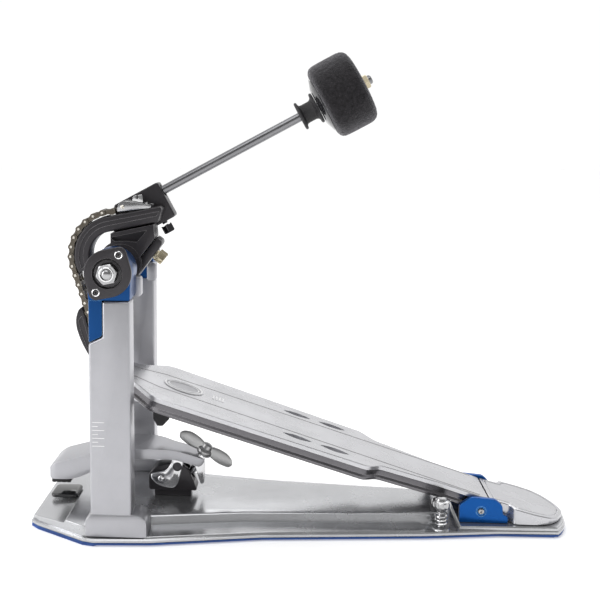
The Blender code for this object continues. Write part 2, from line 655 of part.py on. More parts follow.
# ---------------------------------------------------------------- hoop clamp
JAW_X, JAW_Z = 28.0, 28.0
WING_AXIS = Vector((-0.524, 0.0, -0.852)).normalized()
WING_CENTRE = Vector((61.6, 0.0, 49.3))


def clamp():
    pivot = (JAW_X, 0, JAW_Z)
    cheek = [(18.0, 18.0), (55.0, 18.0), (48.5, 33.5), (44.5, 37.6), (33.0, 38.6), (24.0, 36.0), (18.0, 30.0)]
    bracket = part("clamp_bracket", prism(cheek, "y", -7.0, 7.0), "black_metal", bevel=0.6)
    fuse(bracket, prism([(22.0, 13.3), (50.0, 13.3), (50.0, 19.0), (22.0, 19.0)], "y", -5.0, 5.0))
    seat = [(42.2, 30.6), (58.0, 20.6), (60.0, 45.0), (42.2, 45.0)]
    cut(bracket, prism(seat, "y", -3.7, 3.7), rod((JAW_X, -30, JAW_Z), (JAW_X, 30, JAW_Z), 2.8, 20))
    part("clamp_pin", rod((JAW_X, -11.0, JAW_Z), (JAW_X, 11.0, JAW_Z), 2.5, 20, 0.4), "chrome")
    side = [(-56.0, 29.0), (-56.0, 37.0), (-50.0, 41.0), (-20.0, 49.0), (0.0, 52.5), (24.0, 52.5), (46.0, 48.0),
            (61.5, 41.7), (57.2, 36.2), (44.0, 41.5), (24.0, 45.0), (4.0, 44.5), (-14.0, 40.0), (-30.0, 31.0),
            (-40.0, 28.0), (-55.0, 28.0)]
    plan = mirrored([(-58.0, 13.5), (-53.0, 16.8), (16.0, 16.8), (27.0, 14.4), (36.0, 10.4), (46.0, 10.2),
                     (58.0, 7.4), (62.0, 4.6)])
    jaw = part("clamp_jaw", prism(side, "y", -20.0, 20.0), "board_silver", pivot)
    boolean(jaw, prism(plan, "z", 0.0, 80.0), "INTERSECT", "board_silver")
    lug = [(19.6, 31.2), (20.5, 27.0), (25.0, 22.8), (31.0, 21.0), (36.5, 20.4), (40.0, 22.5), (42.0, 28.0),
           (44.6, 38.0), (44.5, 46.0), (36.5, 46.0), (36.0, 40.8), (32.0, 34.6)]
    for edge in (-1, 1):
        low, high = sorted((edge * 7.4, edge * 10.1))
        fuse(jaw, prism(lug, "y", low, high))
    cut(jaw, rod((JAW_X, -30, JAW_Z), (JAW_X, 30, JAW_Z), 2.8, 20),
        rod(WING_CENTRE + WING_AXIS * 2, WING_CENTRE + WING_AXIS * 40, 3.3, 18))
    part("jaw_pad", prism([(-55.0, 24.2), (-40.5, 24.2), (-40.5, 27.7), (-55.0, 27.7)], "y", -14.0, 14.0),
         "rubber_black", pivot, bevel=0.8)
    rest = mirrored([(-57.5, 8.0), (-55.0, 10.6), (-39.0, 11.0), (-36.5, 8.5)])
    part("hoop_rest", prism(rest, "z", 10.9, 13.6), "rubber_black", bevel=0.8)
    wing_screw()


def wing_screw():
    screw = [(6.2, 2.9), (22.6, 2.9), (23.6, 1.9)]
    origin = WING_CENTRE
    part("clamp_screw", turned(screw, WING_CENTRE, WING_AXIS, 18), "chrome", origin)
    nut = [(5.8, 0.0), (5.8, 5.6), (2.0, 6.2), (0.4, 4.6), (-2.6, 4.2), (-3.4, 2.6), (-3.4, 0.0)]
    wing = part("wing_bolt", turned(list(reversed(nut)), WING_CENTRE, WING_AXIS, 20), "chrome", origin)
    span = Vector((0.852, 0.0, -0.524))
    for side in (-1, 1):
        wing_leaf(wing, span * side)


def wing_leaf(wing, out):
    """One leaf of the wing nut, a flat paddle in the plane of the screw and its span."""
    shape = [(2.0, -2.2), (8.0, -3.9), (16.0, -4.2), (21.4, -1.9), (23.6, 1.2), (21.6, 4.6), (13.0, 6.0),
             (2.0, 4.4)]
    bm = bmesh.new()
    rows = []
    for y in (-1.6, 1.6):
        rows.append([bm.verts.new(WING_CENTRE + out * a + WING_AXIS * b + Vector((0, y, 0))) for a, b in shape])
    for row in rows:
        bm.faces.new(row)
    for k in range(len(shape)):
        n = (k + 1) % len(shape)
        bm.faces.new((rows[0][k], rows[0][n], rows[1][n], rows[1][k]))
    fuse(wing, bm)


# ---------------------------------------------------------------- return spring, beyond the right post
SPRING_X, SPRING_Y = 4.0, 77.5
SWIVEL_Z = 72.0


def spring_hook(eye_z):
    """Eye that hangs on the rocker's pin, with a stem down inside the top of the spring."""
    eye = (SPRING_X, SPRING_Y, eye_z)
    ring = [(-1.6, 3.2), (-1.6, 4.7), (-1.1, 5.2), (1.1, 5.2), (1.6, 4.7), (1.6, 3.2)]
    hook = part("spring_hook", turned(ring, eye, (0, 1, 0), 24, ring=True), "steel",
                (SPRING_X, SPRING_Y, SWIVEL_Z))
    fuse(hook, rod((SPRING_X, SPRING_Y, 158.0), (SPRING_X, SPRING_Y, eye_z - 4.0), 3.4, 16, 0.4),
         rod((SPRING_X, SPRING_Y, 171.3), (SPRING_X, SPRING_Y, 172.9), 5.6, 20, 0.3))


def return_spring():
    axle = (0, 0, AXLE_Z)
    pin_z = AXLE_Z - 14.0
    outline = hull([(0, AXLE_Z, 9.5), (SPRING_X, pin_z, 5.0)], 32)
    rocker = part("spring_rocker", prism(outline, "y", 68.0, 71.6), "black_metal", axle, bevel=0.5)
    cut(rocker, rod((0, 60, AXLE_Z), (0, 80, AXLE_Z), 4.3, 24))
    fuse(rocker, rod((SPRING_X, 71.0, pin_z), (SPRING_X, 81.0, pin_z), 1.8, 16),
         rod((SPRING_X, 80.4, pin_z), (SPRING_X, 82.2, pin_z), 3.0, 16))
    swivel = (SPRING_X, SPRING_Y, SWIVEL_Z)
    spring_hook(pin_z - 0.5)
    coil("return_spring", "steel", (SPRING_X, SPRING_Y, 108.0), 62.0, 5.2, 0.95, 14)
    eye = [(-0.0, 2.0), (0.4, 2.4), (54.0, 2.4), (54.6, 4.6), (57.6, 4.6), (58.2, 3.8)]
    stem = part("spring_rod", turned(eye, (SPRING_X, SPRING_Y, 48.0), (0, 0, 1), 16), "steel", swivel)
    rim = hexagon(10)
    head = [(0, rim - 0.5), (0.4, rim), (4.4, rim), (4.8, rim - 0.5)]
    fuse(stem, turned(head, (SPRING_X, SPRING_Y, 59.4), (0, 0, 1), 6, 0.2))
    hex_nut("spring_nut", (SPRING_X, SPRING_Y, 79.0), (0, 0, 1), 10, 4.8, 2.7, "chrome", swivel)
    bracket = part("spring_bracket", prism([(-6.5, 65.0), (14.0, 65.0), (14.0, 78.2), (-6.5, 78.2)], "y", 61.9,
                                           84.0), "cast_silver", bevel=1.0)
    slot = [(SPRING_X - 4.6, SPRING_Y - 3.2), (SPRING_X + 4.6, SPRING_Y - 3.2), (SPRING_X + 4.6, SPRING_Y + 3.2),
            (SPRING_X - 4.6, SPRING_Y + 3.2)]
    cut(bracket, prism(slot, "z", 50.0, 90.0))


floor_plate()
floor_mat()
posts()
axle_parts()
cam()
cam_hub()
cam_clamp()
chain_anchor()
chain()
beater_hub()
beater()
footboard()
heel()
spurs()
clamp()
return_spring()
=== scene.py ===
"""Looks of the bass drum pedal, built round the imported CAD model.

Design frame, in millimetres, as in the CAD: X from the axle towards the heel, Y from the middle
of the posts towards the side with the return spring, Z up from the floor.
"""
import json
import math

import bmesh
import bpy
from mathutils import Matrix, Vector, noise


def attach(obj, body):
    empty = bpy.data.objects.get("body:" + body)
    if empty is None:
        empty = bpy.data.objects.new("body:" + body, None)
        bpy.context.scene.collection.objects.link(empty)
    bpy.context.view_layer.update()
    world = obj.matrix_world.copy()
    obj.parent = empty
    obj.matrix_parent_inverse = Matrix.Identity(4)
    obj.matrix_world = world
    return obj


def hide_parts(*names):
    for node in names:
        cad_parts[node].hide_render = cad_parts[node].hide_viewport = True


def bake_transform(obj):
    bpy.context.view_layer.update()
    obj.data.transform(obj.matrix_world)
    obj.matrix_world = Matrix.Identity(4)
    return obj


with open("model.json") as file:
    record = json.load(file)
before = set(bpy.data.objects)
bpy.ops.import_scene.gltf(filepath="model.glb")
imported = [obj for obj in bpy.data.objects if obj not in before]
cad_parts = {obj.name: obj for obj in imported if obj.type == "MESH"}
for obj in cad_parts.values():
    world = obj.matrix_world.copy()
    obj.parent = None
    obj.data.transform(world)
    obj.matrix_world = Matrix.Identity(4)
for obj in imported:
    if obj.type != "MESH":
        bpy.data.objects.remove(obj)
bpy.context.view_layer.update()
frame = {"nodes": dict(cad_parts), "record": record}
NODES = frame["nodes"]

MM = 0.001
SHIFT = Vector((-131.0, -7.15, 0.0))
GAP = 0.3
SIDES = (("left", -1), ("right", 1))

# Axle, posts and floor plate
AXLE_Z = 192.0
POST_HALF_X = 14.5
POST_IN_Y, POST_OUT_Y = 44.8, 61.5
POST_TOP_Z = 172.2
NOTCH_X, NOTCH_Z = -4.6, 147.0
PLATE_LOW_Z, FLANGE_TOP_Z, HEEL_TOP_Z, DECK_TOP_Z = 2.6, 5.2, 7.6, 13.0
PLATE_HALF = [(-64.3, 36.0), (-58.0, 41.5), (-20.0, 63.5), (-12.0, 65.7), (28.0, 63.0), (105.0, 48.8),
              (221.0, 38.0), (274.0, 30.5)]

# Footboard and heel
HINGE_X, HINGE_Z = 262.2, 16.2
BOARD_END_X, BOARD_END_Z, BOARD_SLOPE = 268.6, 24.0, 0.318
BOARD_ANGLE = math.atan(BOARD_SLOPE)
BOARD_DEEP, BOARD_SKIN = 11.0, 4.2
BOARD_HALF = [(-19.5, 9.0), (-17.0, 14.0), (-11.0, 19.0), (2.0, 20.5), (10.0, 23.0), (20.0, 34.5),
              (25.0, 40.5), (31.0, 43.0), (168.0, 37.4), (180.0, 37.0), (185.0, 32.0), (190.0, 26.4),
              (234.0, 20.5), (BOARD_END_X, 20.5)]

# Cam, chain and beater
CAM_X, CAM_Z, CAM_R, CAM_BAND = -6.5, 197.3, 29.0, 13.0
CAM_Y = (-13.0, 4.5)
CHAIN_Y, CHAIN_R, CHAIN_PITCH = -4.25, 32.5, 7.3
CHAIN_STEP = 2 * math.asin(CHAIN_PITCH / 2 / CHAIN_R)
CHAIN_START = math.radians(92.0)
CHAIN_LEAN = math.radians(18.3)
LAST_CAM_PIN, RUN_PITCHES = 8, 10
SHAFT_ANGLE = math.radians(28.2)
SHAFT_OFF, SHAFT_Y, SHAFT_R = 33.3, 11.9, 3.5
SPLIT_ANGLE = math.radians(-37.4)

# Floor spurs and the badge
SPUR_X, SPUR_Y = 233, 29
BADGE_X, BADGE_LONG, BADGE_WIDE = 44, 15, 12

# Directions for turned and wound parts
UP, ACROSS = (0, 0, 1), (0, 1, 0)

# Clamp and return spring
JAW_X, JAW_Z = 28.0, 28.0
WING_AXIS = Vector((-0.524, 0.0, -0.852)).normalized()
WING_SPAN = Vector((0.852, 0.0, -0.524)).normalized()
WING_CENTRE = Vector((61.6, 0.0, 49.3))
SPRING_X, SPRING_Y = 4.0, 77.5
SPRING_LOW_Z, SPRING_HIGH_Z = 108.0, 170.0

# Camera, in the design frame
CAMERA_PLACE = (126.0, -649.3, 285.7)
CAMERA_YAW, CAMERA_PITCH, CAMERA_LENS = 4.253, 4.242, 52.659
CAMERA_SHIFT = (0.12, -0.165)


# ---------------------------------------------------------------- materials
def new_material(name, colour, roughness, metallic=0.0, coat=0.0):
    material = bpy.data.materials.new(name)
    material.use_nodes = True
    shader = material.node_tree.nodes["Principled BSDF"]
    shader.inputs["Base Color"].default_value = (*colour, 1.0)
    shader.inputs["Roughness"].default_value = roughness
    shader.inputs["Metallic"].default_value = metallic
    shader.inputs["Coat Weight"].default_value = coat
    return material, material.node_tree, shader


def add_noise(tree, scale, detail=4.0, rough=0.6):
    """Noise in metres on the object's own coordinates."""
    place = tree.nodes.new("ShaderNodeTexCoord")
    texture = tree.nodes.new("ShaderNodeTexNoise")
    texture.inputs["Scale"].default_value = scale
    texture.inputs["Detail"].default_value = detail
    texture.inputs["Roughness"].default_value = rough
    tree.links.new(place.outputs["Object"], texture.inputs["Vector"])
    return texture.outputs["Fac"]


def ramp(tree, value, stops):
    node = tree.nodes.new("ShaderNodeValToRGB")
    while len(node.color_ramp.elements) < len(stops):
        node.color_ramp.elements.new(0.5)
    for element, (place, colour) in zip(node.color_ramp.elements, stops):
        element.position = place
        element.color = (*colour, 1.0)
    tree.links.new(value, node.inputs["Fac"])
    return node.outputs["Color"]


def spread(tree, value, low, high, at=(0.3, 0.7)):
    """Map a noise value onto a range of roughness or height."""
    node = tree.nodes.new("ShaderNodeMapRange")
    node.inputs["From Min"].default_value = at[0]
    node.inputs["From Max"].default_value = at[1]
    node.inputs["To Min"].default_value = low
    node.inputs["To Max"].default_value = high
    tree.links.new(value, node.inputs["Value"])
    return node.outputs["Result"]


def add_bump(tree, shader, height, distance, strength=1.0, under=None):
    bump = tree.nodes.new("ShaderNodeBump")
    bump.inputs["Distance"].default_value = distance
    bump.inputs["Strength"].default_value = strength
    tree.links.new(height, bump.inputs["Height"])
    if under is not None:
        tree.links.new(under, bump.inputs["Normal"])
    tree.links.new(bump.outputs["Normal"], shader.inputs["Normal"])
    return bump.outputs["Normal"]


def painted_highlight_mask(tree, radius):
    """Where the edge highlight is painted: 1 along convex and concave edges, 0 on flats, from how far a
    rounded normal turns.
    """
    bevel = tree.nodes.new("ShaderNodeBevel")
    bevel.samples = 6
    bevel.inputs["Radius"].default_value = radius
    geometry = tree.nodes.new("ShaderNodeNewGeometry")
    dot = tree.nodes.new("ShaderNodeVectorMath")
    dot.operation = "DOT_PRODUCT"
    tree.links.new(bevel.outputs["Normal"], dot.inputs[0])
    tree.links.new(geometry.outputs["Normal"], dot.inputs[1])
    return spread(tree, dot.outputs["Value"], 1.0, 0.0, (0.80, 0.985))


def mixed(tree, mask, first, second):
    node = tree.nodes.new("ShaderNodeMix")
    node.data_type = "RGBA"
    tree.links.new(mask, node.inputs["Factor"])
    for socket, value in ((node.inputs["A"], first), (node.inputs["B"], second)):
        if isinstance(value, tuple):
            socket.default_value = (*value, 1.0)
        else:
            tree.links.new(value, socket)
    return node.outputs["Result"]


def metal(name, colour, light, roughness, metallic, grain=900.0, bump=0.000008, edge=0.0005, coat=0.0):
    """Painted, cast, plated or anodised metal: mottled tone, fine grain, and a painted highlight of lighter
    colour along its edges.
    """
    material, tree, shader = new_material(name, colour, roughness, metallic, coat)
    tone = add_noise(tree, 38.0, 3.0)
    fine = add_noise(tree, grain, 3.0, 0.7)
    dark = tuple(c * 0.90 for c in colour)
    body = ramp(tree, tone, [(0.32, dark), (0.68, colour)])
    # The light colour is painted along convex and concave edges as a highlight.
    tree.links.new(mixed(tree, painted_highlight_mask(tree, edge), body, light), shader.inputs["Base Color"])
    tree.links.new(spread(tree, tone, roughness - 0.04, roughness + 0.05), shader.inputs["Roughness"])
    add_bump(tree, shader, fine, bump, 0.5)
    return material


def rubber(name, colour, light, roughness=0.62):
    material, tree, shader = new_material(name, colour, roughness)
    tone = add_noise(tree, 60.0, 4.0)
    fine = add_noise(tree, 1600.0, 3.0)
    body = ramp(tree, tone, [(0.30, tuple(c * 0.8 for c in colour)),
                             (0.72, tuple(c * 1.25 for c in colour))])
    # The light colour is painted along convex and concave edges as a highlight.
    tree.links.new(mixed(tree, painted_highlight_mask(tree, 0.0008), body, light), shader.inputs["Base Color"])
    tree.links.new(spread(tree, fine, roughness - 0.08, roughness + 0.12), shader.inputs["Roughness"])
    add_bump(tree, shader, fine, 0.00008, 0.7)
    return material


def felt(name):
    """Flocked felt: matted fibres, a soft sheen and pale lint."""
    material, tree, shader = new_material(name, (0.012, 0.011, 0.012), 0.95)
    shader.inputs["Sheen Weight"].default_value = 0.55
    shader.inputs["Sheen Roughness"].default_value = 0.45
    shader.inputs["Sheen Tint"].default_value = (0.75, 0.74, 0.78, 1.0)
    shader.inputs["Specular IOR Level"].default_value = 0.15
    clumps = add_noise(tree, 420.0, 6.0, 0.75)
    lint = add_noise(tree, 1500.0, 2.0, 0.5)
    body = ramp(tree, clumps, [(0.34, (0.006, 0.0055, 0.006)), (0.72, (0.030, 0.028, 0.031))])
    specks = spread(tree, lint, 0.0, 0.8, (0.68, 0.76))
    tree.links.new(mixed(tree, specks, body, (0.16, 0.15, 0.16)), shader.inputs["Base Color"])
    fibres = add_bump(tree, shader, clumps, 0.0009, 1.0)
    add_bump(tree, shader, lint, 0.0003, 0.8, fibres)
    return material


# Metals: colour, painted highlight colour for the edges, roughness, metallic, and what differs from the
# usual grain
METALS = {
    "plate_silver": ((0.50, 0.505, 0.52), (0.86, 0.865, 0.88), 0.24, 0.85, dict(bump=0.000002, coat=0.15)),
    "cast_silver": ((0.46, 0.46, 0.485), (0.92, 0.92, 0.94), 0.33, 0.75, {}),
    "board_silver": ((0.56, 0.56, 0.58), (0.95, 0.95, 0.97), 0.27, 0.85, dict(bump=0.0000015)),
    # A darker copy of board_silver for the footboard's side wall: painted shade.
    "board_wall_painted_shade": ((0.16, 0.155, 0.165), (0.62, 0.61, 0.62), 0.26, 0.9, {}),
    "hinge_blue": ((0.0, 0.080, 0.33), (0.26, 0.56, 0.80), 0.28, 0.7, {}),
    "anodised_blue": ((0.0, 0.050, 0.19), (0.26, 0.56, 0.80), 0.30, 0.7, {}),
    "black_metal": ((0.040, 0.037, 0.041), (0.33, 0.32, 0.33), 0.34, 0.45,
                    dict(grain=1100.0, bump=0.00002, edge=0.0004)),
    "dark_steel": ((0.060, 0.058, 0.062), (0.40, 0.39, 0.39), 0.30, 0.9, {}),
    "steel": ((0.45, 0.45, 0.46), (0.88, 0.88, 0.88), 0.22, 1.0, {}),
    "satin_steel": ((0.42, 0.42, 0.42), (0.85, 0.85, 0.85), 0.30, 0.85, {}),
    "shaft_steel": ((0.24, 0.24, 0.25), (0.5, 0.5, 0.5), 0.24, 1.0, {}),
    "chrome": ((0.74, 0.74, 0.75), (0.97, 0.97, 0.97), 0.10, 1.0, {}),
    "chain_steel": ((0.13, 0.115, 0.095), (0.42, 0.38, 0.32), 0.32, 1.0, dict(edge=0.0003)),
    "pin_steel": ((0.66, 0.63, 0.57), (0.92, 0.90, 0.85), 0.22, 1.0, dict(edge=0.0003)),
    "pale_gold": ((0.50, 0.44, 0.31), (0.92, 0.87, 0.74), 0.24, 1.0, {}),
    "emblem": ((0.40, 0.40, 0.42), (0.90, 0.90, 0.92), 0.34, 0.2, {}),
    "print_white": ((0.86, 0.86, 0.87), (0.92, 0.92, 0.92), 0.5, 0.0, dict(edge=0.0001)),
    "gloss_black": ((0.016, 0.016, 0.018), (0.10, 0.10, 0.11), 0.14, 0.0,
                    dict(grain=600.0, bump=0.00001, edge=0.0005, coat=0.5)),
}

MAT = {name: metal(name, *values, **extra) for name, (*values, extra) in METALS.items()}
MAT["rubber_blue"] = rubber("rubber_blue", (0.010, 0.050, 0.22), (0.05, 0.14, 0.42))
MAT["rubber_black"] = rubber("rubber_black", (0.014, 0.013, 0.015), (0.05, 0.05, 0.055))
MAT["felt_black"] = felt("felt_black")


def dress_cad():
    """Give every CAD node the finish of its slot."""
    slots = {s["node"]: s["material_slot"] for s in frame["record"]["subparts"]}
    for name, obj in NODES.items():
        obj.data.materials.clear()
        obj.data.materials.append(MAT[slots[name]])


# ---------------------------------------------------------------- outlines
def arc(centre, radius, start, end, steps):
    """Points on an arc, angles in degrees."""
    points = []
    for k in range(steps + 1):
        angle = math.radians(start + (end - start) * k / steps)
        points.append((centre[0] + radius * math.cos(angle), centre[1] + radius * math.sin(angle)))
    return points


def hull(circles, steps=64):
    """Outline of the convex hull of (x, z, radius) circles."""
    points = []
    for k in range(steps):
        angle = 2 * math.pi * k / steps
        ux, uz = math.cos(angle), math.sin(angle)
        x, z, radius = max(circles, key=lambda c: c[0] * ux + c[1] * uz + c[2])
        points.append((x + radius * ux, z + radius * uz))
    return points


def rect(left, low, right, high):
    return [(left, low), (right, low), (right, high), (left, high)]


def mirrored(half):
    """Close a half outline of (x, half width) points about the middle plane."""
    near = [(x, -y) for x, y in half]
    far = [(x, y) for x, y in reversed(half) if y > 0]
    return near + far


def rounded(points, radius, steps=4):
    """Round every corner of a closed outline; radius is a number or a function of the corner."""
    result = []
    for k, corner in enumerate(points):
        here = Vector(corner)
        before, after = Vector(points[k - 1]) - here, Vector(points[(k + 1) % len(points)]) - here
        wish = radius(corner) if callable(radius) else radius
        reach = min(wish, 0.46 * before.length, 0.46 * after.length)
        start, end = here + before.normalized() * reach, here + after.normalized() * reach
        for step in range(steps + 1):
            t = step / steps
            result.append(tuple(start * (1 - t) ** 2 + here * 2 * t * (1 - t) + end * t ** 2))
    return result


def inset(points, distance):
    """Move every side of a closed outline inwards."""
    area = sum(a[0] * b[1] - b[0] * a[1] for a, b in zip(points, points[1:] + points[:1]))
    turn = 1.0 if area > 0 else -1.0
    result = []
    for k, corner in enumerate(points):
        here = Vector(corner)
        first = (here - Vector(points[k - 1])).normalized()
        second = (Vector(points[(k + 1) % len(points)]) - here).normalized()
        normal = Vector((-first.y - second.y, first.x + second.x)) * turn
        if normal.length > 1e-6:
            normal.normalize()
            lean = max(0.35, normal.dot(Vector((-first.y, first.x)) * turn))
            here = here + normal * distance / lean
        result.append(tuple(here))
    return result


# ---------------------------------------------------------------- solids
def stack(rings):
    """A solid through closed rings that all have the same number of points."""
    bm = bmesh.new()
    rows = [[bm.verts.new(point) for point in ring] for ring in rings]
    for low, high in zip(rows, rows[1:]):
        for k in range(len(low)):
            n = (k + 1) % len(low)
            bm.faces.new((low[k], low[n], high[n], high[k]))
    bm.faces.new(rows[0])
    bm.faces.new(rows[-1])
    return bm


def prism(outline, axis, low, high):
    """An outline extruded along x, y or z between two levels."""
    place = {
        "x": lambda a, b, c: (c, a, b),
        "y": lambda a, b, c: (a, c, b),
        "z": lambda a, b, c: (a, b, c),
    }[axis]
    return stack([[place(a, b, level) for a, b in outline] for level in (low, high)])


def drafted(outline, levels):
    """An outline stacked up Z, drawn in by (z, inset) levels."""
    return stack([[(x, y, z) for x, y in inset(outline, draw)] for z, draw in levels])


def turned(profile, base, axis, steps=48, phase=0.0, ring=False):
    """A (distance, radius) profile turned about an axis; ring closes it on itself, with a bore."""
    spin = Vector(axis).normalized().to_track_quat("Z", "Y")
    bm = bmesh.new()
    rows = []
    for along, radius in profile:
        row = []
        for k in range(steps):
            angle = phase + 2 * math.pi * k / steps
            local = Vector((radius * math.cos(angle), radius * math.sin(angle), along))
            row.append(bm.verts.new(Vector(base) + spin @ local))
        rows.append(row)
    pairs = list(zip(rows, rows[1:]))
    if ring:
        pairs.append((rows[-1], rows[0]))
    for low, high in pairs:
        for k in range(steps):
            n = (k + 1) % steps
            bm.faces.new((low[k], low[n], high[n], high[k]))
    if not ring:
        bm.faces.new(rows[0])
        bm.faces.new(rows[-1])
    return bm


def hexagon(flats):
    """Corner radius of a hexagon that is this wide across its flats."""
    return flats / 2 / math.cos(math.pi / 6)


def rod(start, end, radius, steps=32, ease=0.0):
    span = Vector(end) - Vector(start)
    profile = [(0, radius), (span.length, radius)]
    if ease:
        profile = [(0, radius - ease), (ease * 0.3, radius - ease * 0.3), (ease, radius)]
        profile += [(span.length - ease, radius), (span.length - ease * 0.3, radius - ease * 0.3)]
        profile += [(span.length, radius - ease)]
    return turned(profile, start, span, steps)


def tube(path, radius, sides=8):
    """A round wire along a path, with flat ends."""
    rings = []
    upright = abs((Vector(path[1]) - Vector(path[0])).normalized().z) >= 0.9
    across = Vector((1, 0, 0)) if upright else Vector(UP)
    for k, point in enumerate(path):
        ahead, behind = Vector(path[min(k + 1, len(path) - 1)]), Vector(path[max(k - 1, 0)])
        along = (ahead - behind).normalized()
        across = (across - along * across.dot(along)).normalized()
        other = along.cross(across)
        turn = [2 * math.pi * n / sides for n in range(sides)]
        rings.append([Vector(point) + (across * math.cos(a) + other * math.sin(a)) * radius for a in turn])
    return stack(rings)


def helix(base, axis, radius, wire, pitch, length, sides=6, steps=16):
    """A wire wound round an axis: a spring, or the crest of a thread."""
    spin = Vector(axis).normalized().to_track_quat("Z", "Y")
    count = int(steps * length / pitch)
    path = []
    for k in range(count + 1):
        angle = 2 * math.pi * k / steps
        local = Vector((radius * math.cos(angle), radius * math.sin(angle), pitch * k / steps))
        path.append(Vector(base) + spin @ local)
    return tube(path, wire, sides)


def together(*solids):
    """Several solids in one mesh, without joining them."""
    whole = bmesh.new()
    for solid in solids:
        mesh = bpy.data.meshes.new("part")
        bmesh.ops.recalc_face_normals(solid, faces=solid.faces)
        solid.to_mesh(mesh)
        solid.free()
        whole.from_mesh(mesh)
        bpy.data.meshes.remove(mesh)
    return whole


# ---------------------------------------------------------------- pieces
def draft(bm, bevel, steps):
    """A temporary object in millimetres, with its sharp edges rounded if it has a bevel."""
    bmesh.ops.recalc_face_normals(bm, faces=bm.faces)
    mesh = bpy.data.meshes.new("draft")
    bm.to_mesh(mesh)
    bm.free()
    obj = bpy.data.objects.new("draft", mesh)
    bpy.context.scene.collection.objects.link(obj)
    if bevel:
        add_bevel(obj, bevel, steps)
    return obj


def add_bevel(obj, width, steps):
    edge = obj.modifiers.new("edges", "BEVEL")
    edge.width = width
    edge.segments = steps
    edge.limit_method = "ANGLE"
    edge.angle_limit = math.radians(34)
    edge.harden_normals = False


def piece(name, base, finish, body, replaces=(), bevel=0.0, steps=3, within=None, add=(), cut=(),
          angle=32.0):
    """Build one piece: base, kept within a solid, rounded, then added to and cut.  A solid in add or
    cut may come with a bevel of its own, as (solid, width)."""
    obj = draft(base, 0.0 if within else bevel, steps)
    tools = []
    for operation, solids in (("INTERSECT", [within] if within else []), ("UNION", add),
                              ("DIFFERENCE", cut)):
        for solid in solids:
            bm, width = solid if isinstance(solid, tuple) else (solid, 0.0)
            tool = draft(bm, width, 2)
            change = obj.modifiers.new(operation, "BOOLEAN")
            change.operation, change.solver, change.object = operation, "EXACT", tool
            tools.append(tool)
        if operation == "INTERSECT" and within and bevel:
            add_bevel(obj, bevel, steps)
    graph = bpy.context.evaluated_depsgraph_get()
    mesh = bpy.data.meshes.new_from_object(obj.evaluated_get(graph))
    for spent in (obj, *tools):
        bpy.data.objects.remove(spent)
    return finished(name, mesh, finish, body, replaces, angle)


def finished(name, mesh, finish, body, replaces, angle=32.0):
    mesh.transform(Matrix.Scale(MM, 4) @ Matrix.Translation(SHIFT))
    mesh.name = name
    obj = bpy.data.objects.new(name, mesh)
    bpy.context.scene.collection.objects.link(obj)
    mesh.materials.clear()
    mesh.materials.append(MAT[finish])
    mesh.shade_smooth()
    mesh.set_sharp_from_angle(angle=math.radians(angle))
    if body:
        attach(obj, body)
    if replaces:
        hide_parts(*replaces)
    return obj


# ---------------------------------------------------------------- local frames
def shaft_point(along, off, y=SHAFT_Y):
    """A point given along the beater's shaft and square to it."""
    cos, sin = math.cos(SHAFT_ANGLE), math.sin(SHAFT_ANGLE)
    return Vector((along * cos - off * sin, y, AXLE_Z + along * sin + off * cos))


def split_point(along, out, y=0.0):
    """A point given along the clamp's split plane and out from the axle."""
    cos, sin = math.cos(SPLIT_ANGLE), math.sin(SPLIT_ANGLE)
    return Vector((-along * sin + out * cos, y, AXLE_Z + along * cos + out * sin))


def board_z(x):
    return BOARD_END_Z + BOARD_SLOPE * (BOARD_END_X - x)


def on_board(x, y, lift=0.0):
    """A point above the board's top face, square to it."""
    return Vector((x + lift * math.sin(BOARD_ANGLE), y, board_z(x) + lift * math.cos(BOARD_ANGLE)))


def flat(point):
    return (point[0], point[2])


def cam_pin(index):
    angle = CHAIN_START + CHAIN_STEP * index
    return (CAM_X + CHAIN_R * math.cos(angle), CAM_Z + CHAIN_R * math.sin(angle))


def run_pin(index):
    x, z = cam_pin(LAST_CAM_PIN)
    drop = CHAIN_PITCH * index
    return (x + drop * math.sin(CHAIN_LEAN), z - drop * math.cos(CHAIN_LEAN))


def chain_pin(index):
    return cam_pin(index) if index <= LAST_CAM_PIN else run_pin(index - LAST_CAM_PIN)


# ---------------------------------------------------------------- shared fittings
def nut(name, base, axis, flats, height, bore, finish, body, replaces=()):
    """A hexagon nut with both ends turned to a cone, and a bore chamfered at both ends."""
    rim = hexagon(flats)
    cone = turned([(-0.1, flats / 2 - 0.1), (0.9, rim + 0.2), (height - 0.9, rim + 0.2),
                   (height + 0.1, flats / 2 - 0.1)], base, axis, 60)
    body_shape = turned([(0, rim), (height, rim)], base, axis, 6, 0.2)
    hole = turned([(-1, bore + 0.8), (0.7, bore), (height - 0.7, bore), (height + 1, bore + 0.8)], base,
                  axis, 40)
    return piece(name, body_shape, finish, body, replaces, within=cone, cut=[hole])


def square_head_screw(name, base, out, grip, finish, body, replaces):
    """Drum-key screw: shank, flange and a square head with a rounded end."""
    head = 3.0 * math.sqrt(2)
    shank = turned([(0, 1.6), (0.5, 2.0), (grip + 0.6, 2.0)], base, out, 28)
    flange = turned([(grip, 3.5), (grip + 0.2, 3.7), (grip + 1.2, 3.7), (grip + 1.7, 3.2)], base, out, 44)
    square = turned([(grip + 1.2, head), (grip + 7.6, head)], base, out, 4)
    crest = helix(Vector(base), out, 2.0, 0.22, 0.9, max(1.0, grip - 0.4))
    piece(name, square, finish, body, replaces, bevel=0.5,
          within=turned([(0, 6.0), (grip + 6.9, 4.3), (grip + 7.7, 3.4)], base, out, 40),
          add=[shank, flange])
    piece(name + "_thread", crest, finish, body)


def ring_piece(name, profile, base, axis, finish, body, replaces=(), steps=72):
    return piece(name, turned(profile, base, axis, steps, ring=True), finish, body, replaces)


# ---------------------------------------------------------------- floor plate and mat
def plate_outline(draw=0.0):
    half = [(x + (draw if x < -60 else 0), y - draw) for x, y in PLATE_HALF]
    return mirrored([*half, *arc((284.0, 0.0), 42.6 - draw, 42, 0, 12)])


